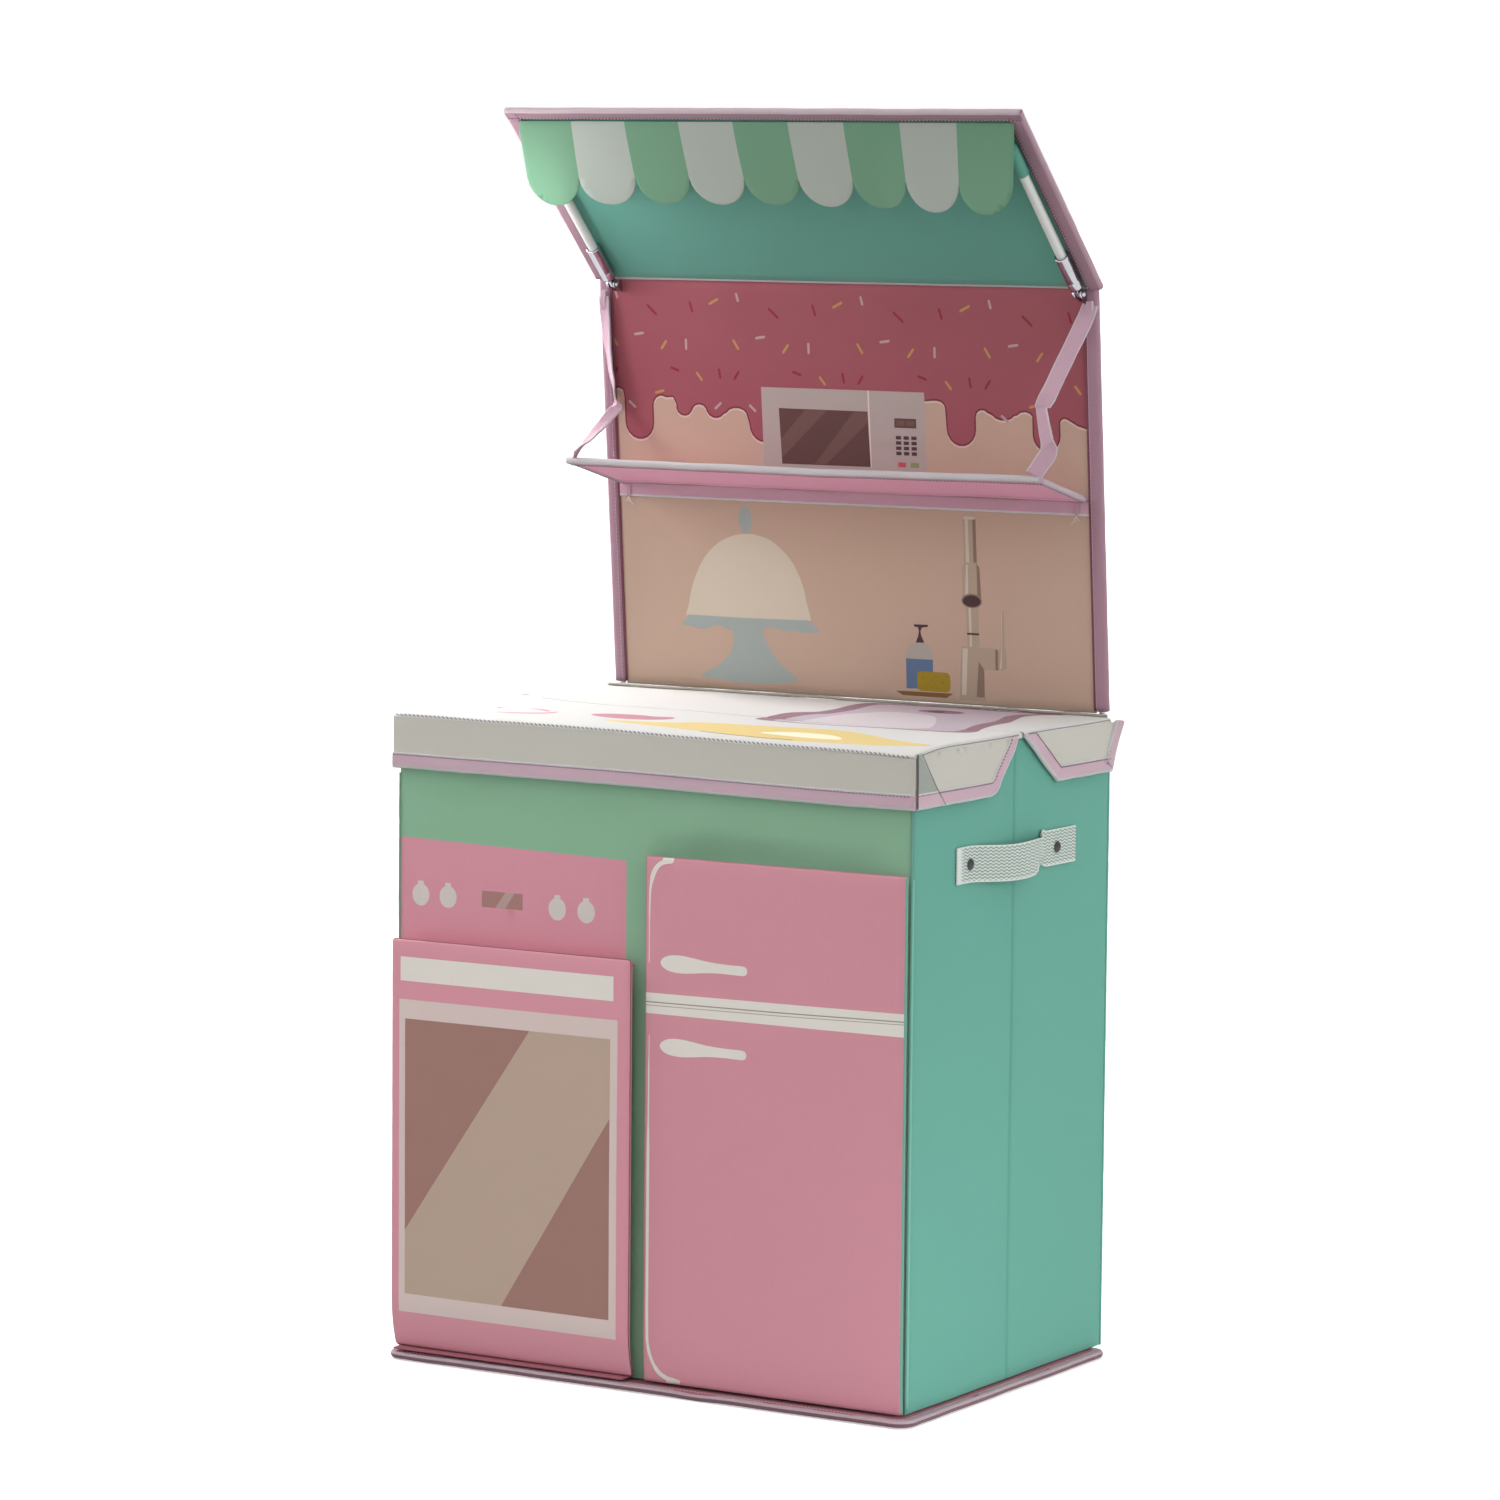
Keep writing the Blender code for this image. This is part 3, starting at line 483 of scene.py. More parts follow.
def lathe(name, start, axis, rings, tint, material, count=28):
    """A turned shape: rings are (distance along the axis, radius), in millimetres from the start."""
    axis = axis.normalized()
    side = axis.orthogonal().normalized()
    other = axis.cross(side)
    points, faces, uvs = [], [], []
    for along, radius in rings:
        for j in range(count):
            angle = 2 * math.pi * j / count
            points.append(start + (axis * along + (side * math.cos(angle) + other * math.sin(angle)) * radius) * MM)
            uvs.append((along * MM, radius * angle * MM))
    for i in range(len(rings) - 1):
        for j in range(count):
            k = (j + 1) % count
            faces.append((i * count + j, i * count + k, (i + 1) * count + k, (i + 1) * count + j))
    faces.append(tuple(range(count))[::-1])
    faces.append(tuple((len(rings) - 1) * count + j for j in range(count)))
    return make_object(name, points, faces, uvs, [linear(tint)] * len(faces), material)


def subdivided(line, step):
    """A line in millimetres with no two points further apart than step, as points in metres."""
    out = []
    for a, b in zip(line, line[1:]):
        count = max(1, math.ceil((b - a).length / step))
        out += [a.lerp(b, j / count) for j in range(count)]
    return [p * MM for p in out + [line[-1]]]


def path_points(corners, step, radius=0.0):
    """Points in metres along straight runs between corners in millimetres, corners rounded off."""
    corners = [Vector(c) for c in corners]
    line = [corners[0]]
    for before, corner, after in zip(corners, corners[1:], corners[2:]):
        a, b = before - corner, after - corner
        cut = min(radius, 0.45 * a.length, 0.45 * b.length)
        start, end = corner + a.normalized() * cut, corner + b.normalized() * cut
        line += [start.lerp(corner, t).lerp(corner.lerp(end, t), t) for t in (k / 5 for k in range(6))]
    return subdivided(line + [corners[-1]], step)


def smooth_path(points, step):
    """A smooth line through points in millimetres, as points in metres."""
    return subdivided([Vector(p) for p in curve([tuple(p) for p in points], False, 8)], step)


def highlight_tint(tint):
    """The painted highlight for a tape's edges: its paler tint, where the palette has one."""
    return tint + "_edge" if tint + "_edge" in PALETTE else tint


def binding_profile(width, core, tape):
    """Folded tape round a cloth edge at b = 0; the cloth is core thick and lies towards b > 0."""
    h = core / 2
    front = [(h + 0.15, width), (h + 0.8 * tape, width - 0.4), (h + 0.95 * tape, width - 1.0),
             (h + 0.55 * tape, width - 1.7), (h + tape, width - 2.6), (h + 1.1 * tape, width * 0.45),
             (h + tape, 1.6), (h + 0.7 * tape, 0.1), (0.45 * h, -0.7), (0.0, -0.85)]
    rear = [(-0.45 * h, -0.7), (-h - 0.7 * tape, 0.1), (-h - tape, 1.2), (-h - 1.1 * tape, width * 0.45),
            (-h - tape, width - 2.6), (-h - 0.55 * tape, width - 1.7), (-h - 0.95 * tape, width - 1.0),
            (-h - 0.15, width)]
    return in_metres(front + rear)


def binding(name, path, ups, width, core, tint, seed, closed=False, tape=0.8, under=None):
    """A folded edge tape, a little puckered along its stitching."""
    def pucker(i, j, a, b):
        at = path[i] / MM
        swell = noise.noise(at / 7.0 + Vector((seed, 0, 0))) + 0.5 * noise.noise(at / 2.6 + Vector((0, seed, 0)))
        edge = noise.noise(at / 18.0 + Vector((0, 0, seed)))
        a += math.copysign(0.16 * swell * MM, a) if abs(a) > core * MM / 2 else 0.0
        return a, b + 0.35 * edge * MM
    edge = highlight_tint(tint)
    # The tape's edges take the paler tint, a painted highlight where the fold catches light.
    tints = [edge] * 3 + [tint] * 3 + [edge] * 6 + [tint] * 3 + [edge] * 3
    # under, where given, paints the tape's lower half a darker tint as painted shade on its underside.
    if under:
        tints[8:] = [under] * 10
    return sweep(name, path, ups, binding_profile(width, core, tape), tint, TAPE, closed, pucker, tints)


def ribbon(name, path, ups, width, thickness, tint, seed, curl=0.0):
    """A flat strap along a path in metres, its edges a little thicker than its middle."""
    w, t = width / 2, thickness / 2
    half = [(t, -w + 0.3), (t * 1.25, -w + 0.9), (t * 0.85, -w * 0.4), (t * 0.85, w * 0.4), (t * 1.25, w - 0.9),
            (t, w - 0.3), (0, w)]
    profile = in_metres(half + [(-a, -b) for a, b in half])

    def curling(i, j, a, b):
        at = path[i] / MM
        cup = curl * (b / MM / w) ** 2 * noise.noise(at / 16 + Vector((seed, 0, 0)))
        fuzz = 0.12 * noise.noise(at / 3.0 + Vector((0, j, seed)))
        return a + (cup + fuzz) * MM, b * (1 + 0.05 * noise.noise(at / 11 + Vector((0, 0, seed))))
    # The strap's edges take the paler tint, a painted highlight.
    edge = highlight_tint(tint)
    return sweep(name, path, ups, profile, tint, TAPE, bulge=curling,
            tints=[edge, tint, tint, tint, edge, edge, edge] * 2)


def stitches(name, path, up, pitch, length, radius, tint="thread", lift=0.2, slant=0.0):
    """A row of stitches along a path in metres: short rounded bars of thread on the cloth."""
    points, faces, uvs = [], [], []
    distances = [0.0]
    for a, b in zip(path, path[1:]):
        distances.append(distances[-1] + (b - a).length)

    def at(d):
        for i in range(len(path) - 1):
            if d <= distances[i + 1] or i == len(path) - 2:
                span = distances[i + 1] - distances[i] or 1.0
                return path[i].lerp(path[i + 1], (d - distances[i]) / span), (path[i + 1] - path[i]).normalized()
    for k in range(int(distances[-1] / (pitch * MM))):
        centre, tangent = at((k + 0.5) * pitch * MM)
        normal = (up - tangent * up.dot(tangent)).normalized()
        direction = (tangent + tangent.cross(normal) * slant).normalized()
        side = direction.cross(normal)
        half, r = length * MM / 2, radius * MM
        first = len(points)
        for end, size in ((-1, 0.35), (-0.6, 1.0), (0.6, 1.0), (1, 0.35)):
            middle = centre + direction * (half * end) + normal * (lift * MM * (1 if abs(end) < 1 else -0.4))
            for angle in (45, 135, 225, 315):
                c, s = math.cos(math.radians(angle)), math.sin(math.radians(angle))
                points.append(middle + side * (r * size * c) + normal * (r * size * s))
                uvs.append((half * end, r * c))
        bars = [(ring * 4 + j, ring * 4 + (j + 1) % 4, ring * 4 + 4 + (j + 1) % 4, ring * 4 + 4 + j)
                for ring in range(3) for j in range(4)]
        faces += [tuple(first + v for v in face) for face in bars + [(3, 2, 1, 0), (12, 13, 14, 15)]]
    return make_object(name, points, faces, uvs, [linear(tint)] * len(faces), THREAD)


# --- Pieces ---
def finish_piece(piece, body=None, replaces=(), blend=None):
    """Parents a piece to the body it rides on, or for a piece blended between two bodies only fixes it in place;
    hides the CAD nodes it stands for.
    """
    if blend:
        body_a, body_b, start, end = blend
        tuple(v * MM for v in start)
        tuple(v * MM for v in end)
        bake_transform(piece)
    else:
        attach(piece, body)
    if replaces:
        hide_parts(*replaces)


def cut_cloth(shape):
    """Works out a flat outline's area and size, and keeps neither."""
    us, vs = zip(*shape)
    area = abs(sum(shape[i - 1][0] * v - u * shape[i - 1][1] for i, (u, v) in enumerate(shape))) / 2
    (max(us) - min(us)) * MM
    (max(vs) - min(vs)) * MM


X, Y, Z = Vector((1, 0, 0)), Vector((0, 1, 0)), Vector((0, 0, 1))
SIDES = ((-1, "left"), (1, "right"))


def leaning_plane(origin, angle):
    """A frame turned about X: returns a function of local (x, y, z) in millimetres, and its axes."""
    turn = Matrix.Rotation(math.radians(angle), 3, "X")
    base = Vector(origin)

    def at(x, y, z):
        return (base + turn @ Vector((x, y, z))) * MM
    return at, turn @ Y, turn @ Z


# --- Places, from the frame ---
def low_high(node):
    low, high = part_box(node)
    return low / MM, high / MM


wall_low, wall_high = low_high("front_wall")
front_y = wall_low.y
side_x = low_high("side_right_front_panel")[1].x
fold_y = low_high("side_right_rear_panel")[0].y - 0.15
oven_low, oven_high = low_high("oven_door")
fridge_low, fridge_high = low_high("fridge_door")
lid_low, lid_high = low_high("lid_front_panel")
lid_rear_high = low_high("lid_rear_panel")[1]
base_low, base_high = low_high("base_binding")


# --- Base pad ---
def make_base():
    thick = base_high.z

    def base_ring(margin, radius):
        return rounded(base_low.x + margin, base_low.y + margin, base_high.x - margin, base_high.y - margin, radius)

    def place(u, v, depth):
        soft = 0.25 * wobble(u, v, 1, 60) if depth < 3 else 0.0
        return Vector((u, v, thick - 0.7 - depth + soft)) * MM

    rim = [(2.0, 0.0), (0.6, 0.4), (0.0, 1.4), (0.0, thick - 2.2), (2.0, thick - 1.0)]
    pad = printed_sheet("base_pad", base_ring(2.0, 13.5), [], "base_pink", place, rim, 14.0)
    finish_piece(pad, "box", ["base_board"])

    def lift(x, y):
        sag = -0.5 * bell(x - 62, 16) if y < -150 else 0.0
        return 0.35 * wobble(x, y, 2, 45) + sag

    path = [Vector((x, y, thick / 2 + lift(x, y))) * MM for x, y in resample(base_ring(0.9, 14.5), 5.0)]
    # The base tape's underside is tinted darker, painted shade under its edge.
    tape = binding("base_binding_tape", path[::-1], Z, 8.0, 3.6, "base_trim", 3.0, True, 0.75, "base_underside_shade")
    finish_piece(tape, "box", ["base_binding"])
    line = resample(base_ring(7.2, 8.5), 6.0)
    seam = stitches("base_stitching", [Vector((x, y, thick - 0.55)) * MM for x, y in line], Z, 3.4, 2.4, 0.2)
    finish_piece(seam, "box")


# --- Walls ---
FACE_DEPTH = 1.5  # a point of a cover less deep than this belongs to its face, not to its lining
WALL_RIM = [(1.0, 0.12), (0.35, 0.4), (0.0, 1.0), (0.0, 2.1), (0.4, 2.7), (1.0, 3.0)]


def make_front_wall():
    prints = [([(-246.9, 352), (-21.5, 352), (-21.5, 436.4), (-246.9, 441.4)], "control_pink")]
    for x, z in ((-225.7, 394.6), (-198.1, 394.6), (-89.2, 392.4), (-60.7, 392.1)):
        prints.append((ellipse(x, z - 1.2, 8.6, 9.4), "knob"))
        prints.append((rounded(x - 3.0, z + 6.5, x + 3.0, z + 10.6, 1.0), "knob"))
    prints.append((rectangle(-164.1, 387.6, -123.4, 401.2), "display"))
    prints.append(([(-151, 387.6), (-141, 387.6), (-131.5, 401.2), (-140.5, 401.2)], "display_glint"))

    def place(u, v, depth):
        top = max(0.0, (v - 380) / 160)
        face = 0.7 * wobble(u, v, 4, 120) + 0.25 * wobble(u, v, 5, 32)
        pull = 0.8 * top * math.sin(u / 19 + 2 * wobble(u, v, 6, 70)) * bell(v - 462, 26) * (1 if u > -10 else 0.35)
        reach = max(0.0, min(1.0, (u - 4) / 14, (232 - u) / 50))
        tuck = 6.0 * bell(v - 447 - 3 * wobble(u, 0, 7, 60), 10) * (0.85 + 0.5 * wobble(u, v, 8, 38)) * reach
        edge = min(1.0, (wall_high.x - abs(u)) / 25)
        return Vector((u, front_y + depth - (face + pull - tuck) * edge * (1 if depth < FACE_DEPTH else 0.8), v)) * MM

    outline = rectangle(wall_low.x, wall_low.z, wall_high.x, wall_high.z)
    wall = printed_sheet("front_wall_cover", outline, prints, "mint", place, WALL_RIM, 10.0, back="lining")
    finish_piece(wall, "front", ["front_wall"])

    ridge = [(1.1, -0.5), (1.35, 0.0), (1.1, 0.5), (0.3, 0.9), (-0.5, 0.6), (-0.5, -0.6), (0.3, -0.9)]
    for side, name in SIDES:
        path = path_points([(side * (side_x - 0.3), front_y + 0.3, z) for z in (8, 495)], 6)
        out = Vector((side, -1, 0)).normalized()

        def uneven(i, j, a, b, path=path):
            return a * (1 + 0.25 * noise.noise(path[i] / MM / 9)), b
        tint = "mint" if side < 0 else "teal_seam"
        piece = sweep("corner_seam_" + name, path, out, in_metres(ridge), tint, TAPE, bulge=uneven)
        finish_piece(piece, "front")


def make_side(side, name):
    y0, y1 = front_y + 3.35, low_high("side_right_rear_panel")[1].y
    us = (y0, y1) if side > 0 else (-y1, -y0)
    crease_u = fold_y * side
    creases = [[(crease_u + d, wall_low.z), (crease_u + d, wall_high.z)]
            for d in (-5, -3, -1.6, -0.6, 0.0, 0.6, 1.6, 3, 5)]

    def place(u, v, depth):
        away = abs(u - crease_u)
        groove = 1.1 * bell(away, 1.3) - 0.35 * bell(away - 5, 4)
        edge = max(0.0, min(1.0, (u - us[0]) / 20, (us[1] - u) / 20))
        swell = 0.5 * wobble(u + 0.3 * v, v, 9 + side, 60) * min(1, away / 20)
        soft = (0.9 * wobble(u, v, 8 + side, 150) + swell) * edge
        tucks = 0.7 * bell(v - 500, 30) * wobble(u, v, 10 + side, 26) * edge
        out = (soft + tucks) * (1 if depth < FACE_DEPTH else 0.5) - (groove if depth < FACE_DEPTH else -0.3 * groove)
        return Vector((side * (side_x - depth + out), side * u, v)) * MM

    outline = rectangle(us[0], wall_low.z, us[1], wall_high.z)
    cover = printed_sheet(f"side_{name}_cover", outline, [], "teal", place, WALL_RIM, 10.0, creases, "lining")
    bodies = [f"side_{name}_{part}" for part in ("rear", "front")]
    finish_piece(cover, replaces=[body + "_panel" for body in bodies],
                 blend=(*bodies, *((side * side_x, fold_y + off, 250) for off in (3.5, -3.5))))


def make_rear_wall():
    y = low_high("rear_wall")[1].y

    def place(u, v, depth):
        soft = 0.8 * wobble(u, v, 12, 130) * min(1.0, (wall_high.x - abs(u)) / 25)
        return Vector((-u, y - depth + soft * (1 if depth < FACE_DEPTH else 0.5), v)) * MM

    outline = rectangle(wall_low.x, wall_low.z, wall_high.x, wall_high.z)
    cover = printed_sheet("rear_wall_cover", outline, [], "teal", place, WALL_RIM, 14.0, back="lining")
    finish_piece(cover, "box", ["rear_wall"])
    for _, name in SIDES:
        low, high = low_high(f"pole_sleeve_{name}")
        x, r = (low.x + high.x) / 2, (high.x - low.x) / 2
        path = path_points([(x, (low.y + high.y) / 2, z) for z in (low.z, high.z)], 7)

        def creased(i, j, a, b, path=path):
            return tuple(c * (1 + 0.06 * noise.noise(path[i] / MM / 14 + Vector((j, 0, 0)))) for c in (a, b))
        sleeve = sweep(f"pole_sleeve_{name}_cover", path, Y, round_profile(r, r, 18), "teal", CLOTH, bulge=creased)
        finish_piece(sleeve, "box", [f"pole_sleeve_{name}"])


# --- Doors ---
def door_rim(thickness, taper):
    """A rounded front edge, then a side band that runs in towards the back."""
    r = min(2.6, thickness * 0.3)
    steps = [(r * (1 - math.sin(a)), r * (1 - math.cos(a))) for a in (math.radians(d) for d in (0, 30, 60, 90))]
    back = [(i + taper, thickness - d) for i, d in reversed(steps[:-1])]
    return steps + [(taper * 0.4, thickness * 0.5), (taper, thickness - r)] + back


def door_place(low, high, seed, crown, foot):
    thickness = high.y - low.y
    width, height = high.x - low.x, high.z - low.z

    def place(u, v, depth):
        s, t = (u - low.x) / width, (v - low.z) / height
        dome = (max(0.0, 4 * s * (1 - s)) * max(0.0, 4 * t * (1 - t))) ** 0.6
        swell = (0.55 * wobble(u, v, seed, 110) + 0.25 * wobble(u, v, seed + 1, 36)) * min(1.0, dome * 3)
        soft = crown * (dome - 0.35) + swell
        front = max(0.0, 1 - depth / thickness)
        under = foot * max(0.0, 1 - (v - low.z) / 42) ** 2 * front
        held = crown * 0.65
        y = low.y + held + depth * (1 - held / thickness) - soft * front * min(1.0, dome * 2.2) + under
        return Vector((u, y, v)) * MM

    return place


def door_seam(door, line, closed, place, depth, uneven, seed, radius, tint):
    """The corded seam that joins a door's face to its side band."""
    path = [place(u, v, depth + uneven * wobble(u, v, seed, 20)) for u, v in resample(line, 6.0, closed)]
    seam = sweep(door + "_door_seam", path, Y, round_profile(radius, radius, 6), tint, TAPE, closed)
    finish_piece(seam, door)


def make_oven_door():
    low, high = oven_low, oven_high
    prints = [
        (rectangle(-233.9, 322.2, -22.2, 342.6), "cream"),
        (rectangle(-235.0, 41.0, -18.0, 306.7), "frame_cream"),
        (rectangle(-228.9, 56.7, -25.0, 290.5), "glass_dark"),
        ([(-228.9, 110.8), (-228.9, 56.7), (-131.2, 56.7), (-25.0, 224.7), (-25.0, 290.5), (-104.2, 290.5)],
        "glass_light"),
    ]
    outline = rounded(low.x, low.z, high.x, high.z - 1.8, 2.6, 3)
    place = door_place(low, high, 21, 1.0, 8.0)
    door = printed_sheet("oven_door_pad", outline, prints, "oven_pink", place, door_rim(high.y - low.y, 5.2), 8.0,
            back="lining")
    finish_piece(door, "oven", ["oven_door"])
    door_seam("oven", inset(outline, 0.3), True, place, 1.9, 0.2, 22, 0.55, "hinge_pink")


def fridge_handle(x0, x1, z):
    """A fat rounded lobe on the left, narrowing to a short bar with a round end."""
    length = x1 - x0
    top = [(0.0, 0.0), (0.03, 3.8), (0.11, 6.6), (0.24, 7.3), (0.38, 6.3), (0.55, 4.6), (0.75, 3.9), (0.93, 4.0),
            (0.985, 3.0), (1.0, 0.0)]
    droop = -0.012
    upper = [(x0 + length * f, z + w + droop * length * f) for f, w in top]
    lower = [(x0 + length * f, z - w + droop * length * f) for f, w in top[1:-1]]
    return curve(upper + lower[::-1], steps=3)[::-1]


def make_fridge_door():
    low, high = fridge_low, fridge_high
    top_line = stroke(curve([(31.0, 441.0), (20.0, 438.8), (13.0, 432.4), (9.4, 421.0), (8.2, 405.0), (8.0, 356.0)],
            False, 5),
                      [0.6] + [3.8] * 8 + [4.2] * 5 + [3.2, 2.4, 2.2, 2.0, 1.8, 1.6, 1.4, 1.2] + [0.8] * 4)
    side_line = stroke(curve([(8.6, 296.0), (8.4, 240.0), (8.2, 150.0), (8.4, 60.0), (9.8, 36.0), (16.5, 20.0),
            (26.5, 13.0), (40.0, 11.6)], False, 5),
                       [0.7] * 3 + [1.4] * 4 + [2.6] * 13 + [2.9] * 5 + [3.9] * 8 + [3.0, 2.2, 0.6])
    prints = [
        ([(low.x - 1, 314.2), (high.x + 1, 314.8), (high.x + 1, 333.6), (low.x - 1, 331.2)], "cream"),
        (stroke([(low.x - 1, 323.6), (130, 325.0), (high.x + 1, 327.2)], 0.9), "door_line"),
        (stroke([(low.x - 1, 320.8), (130, 322.4), (high.x + 1, 325.0)], 0.5), "door_line"),
        (top_line[::-1], "cream"), (side_line[::-1], "cream"),
        (fridge_handle(19.0, 102.0, 356.9)[::-1], "cream"), (fridge_handle(19.0, 102.0, 288.2)[::-1], "cream"),
    ]
    outline = rounded(low.x, low.z, high.x, high.z, 2.4, 3)
    place = door_place(low, high, 31, 0.9, 2.5)
    door = printed_sheet("fridge_door_pad", outline, prints, "fridge_pink", place, door_rim(high.y - low.y, 2.0), 8.5,
            back="lining")
    # The band along the hinge side is cut from the box's own cloth, painted darker than that cloth as shade on its
    # side faces.
    tints = door.data.color_attributes["tint"].data
    for polygon in door.data.polygons:
        if polygon.center.x > (high.x - 2.3) * MM and polygon.normal.x > 0.5:
            for corner in polygon.loop_indices:
                tints[corner].color = linear("teal_seam", 0.8)
    finish_piece(door, "fridge", ["fridge_door"])
    door_seam("fridge", rectangle(high.x - 2, low.z + 0.25, low.x + 0.25, high.z - 0.25), False, place, 1.5, 0.15, 32,
            0.45, "fridge_pink")


def make_tapes():
    """Touch-and-close strips: a felted face on a woven ground."""
    for node, body, front in (("oven_hook_tape", "front", -1), ("fridge_hook_tape", "front", -1),
            ("oven_loop_tape", "oven", 1), ("fridge_loop_tape", "fridge", 1)):
        low, high = low_high(node)
        face = low.y if front < 0 else high.y

        def place(u, v, depth, face=face, front=front, low=low, high=high):
            pile = 0.12 * wobble(u, v, 41, 1.6) if depth < 0.3 else 0.0
            x = u if front < 0 else low.x + high.x - u
            return Vector((x, face - front * (depth - pile), v)) * MM
        rim = [(0.8, 0.0), (0.2, 0.1), (0.0, 0.35), (0.0, 0.9)]
        strip = printed_sheet(node + "_strip", rounded(low.x, low.z, high.x, high.z, 2.0, 3), [], "touch_tape", place,
                rim, 2.5, material=WEBBING)
        finish_piece(strip, body, [node])
    low, high = low_high("oven_hinge_flap")

    def flap(u, v, depth):
        return Vector((u, v, high.z - depth - 0.15 * wobble(u, v, 42, 20))) * MM
    # The hinge cloth's dark tint is partly its own pink and partly painted shade of the gap under the oven door.
    piece = printed_sheet("oven_hinge_cloth", rectangle(low.x + 3, low.y, high.x - 5, high.y), [], "hinge_gap_shade", flap,
                          [(0.5, 0.1), (0.0, 0.6), (0.0, 1.4), (0.5, 1.9)], 5.0)
    finish_piece(piece, "front", ["oven_hinge_flap"])
    low, high = low_high("fridge_hinge_tape")

    def tape(u, v, depth):
        return Vector((u, low.y + (high.y - low.y) * depth / 1.2, v)) * MM
    piece = printed_sheet("fridge_hinge_cloth", rectangle(low.x, low.z, high.x, high.z), [], "teal_seam", tape,
                          [(0.3, 0.0), (0.0, 0.3), (0.0, 0.9), (0.3, 1.2)], 6.0)
    finish_piece(piece, "front", ["fridge_hinge_tape"])


# --- Edge tapes on flat work ---
def offset_line(line, distance):
    """An open line moved to its left."""
    out = []
    for i, (x, y) in enumerate(line):
        ax, ay = line[max(i - 1, 0)]
        bx, by = line[min(i + 1, len(line) - 1)]
        la, lb = math.hypot(x - ax, y - ay), math.hypot(bx - x, by - y)
        n1 = (-(y - ay) / la, (x - ax) / la) if la else (-(by - y) / lb, (bx - x) / lb)
        n2 = (-(by - y) / lb, (bx - x) / lb) if lb else n1
        k = distance / max(0.35, 1 + n1[0] * n2[0] + n1[1] * n2[1])
        out.append((x + (n1[0] + n2[0]) * k, y + (n1[1] + n2[1]) * k))
    return out


def edge_tape(name, line, place, up, width, core, tint, seed, body, tape=0.8, replaces=(), sewn=True, ceiling=None):
    """Binding along a counter-clockwise edge of a flat piece, and its stitching; neither passes the ceiling."""
    fine = resample(line, 4.0, closed=False)
    path = [place(u, v, core / 2) for u, v in fine][::-1]
    pieces = [(binding(name, path, up, width, core, tint, seed, tape=tape), replaces)]
    if sewn:
        seam = resample(offset_line(fine, width - 1.7), 5.0, closed=False)
        row = [place(u, v, -0.62 * tape) for u, v in seam]
        pieces.append((stitches(name + "_stitching", row, up, 3.4, 2.3, 0.4, "stitch_pink", 0.95, 0.5), ()))
    for piece, nodes in pieces:
        for vertex in piece.data.vertices if ceiling else ():
            vertex.co.z = min(vertex.co.z, ceiling * MM)
        finish_piece(piece, body, nodes)


# --- Lid ---
def front_lift(x):
    """How far the lid's front edge rides up towards the left, in millimetres."""
    s = min(1.0, max(0.0, (230 - x) / 290))
    return 3.8 * s * s * (3 - 2 * s)


def lid_height(x, y):
    """How far the worktop's surface stands above or below its board, in millimetres."""
    half = lid_high.x + 3
    deep = y - lid_front_y
    front = -3.4 * math.exp(-deep / 22) - 1.3 * bell(x - 60, 130) * math.exp(-deep / 40)
    corner = -1.6 * math.exp(-((x - half) / 30) ** 2 - (deep / 30) ** 2)
    sag = -3.2 * bell(x - 75, 95) - 0.8 + 3.4 * bell(x + half, 60) + 0.8 * bell(x - half, 40)
    crease = sag * math.exp(-(abs(y - lid_fold_y) / 34) ** 1.5) - 0.9 * bell(y - lid_fold_y, 1.6)
    soft = 0.5 * wobble(x, y, 51, 90) + 0.22 * wobble(x, y, 52, 30)
    return front + corner + crease + soft + front_lift(x) * bell(deep, 75)


lid_front_y = low_high("lid_skirt_front")[0].y
lid_fold_y = lid_high.y + 0.15
LID_BLEND = ("lid_rear", "lid_front", (0, lid_fold_y + 5.0, 540), (0, lid_fold_y - 5.0, 540))


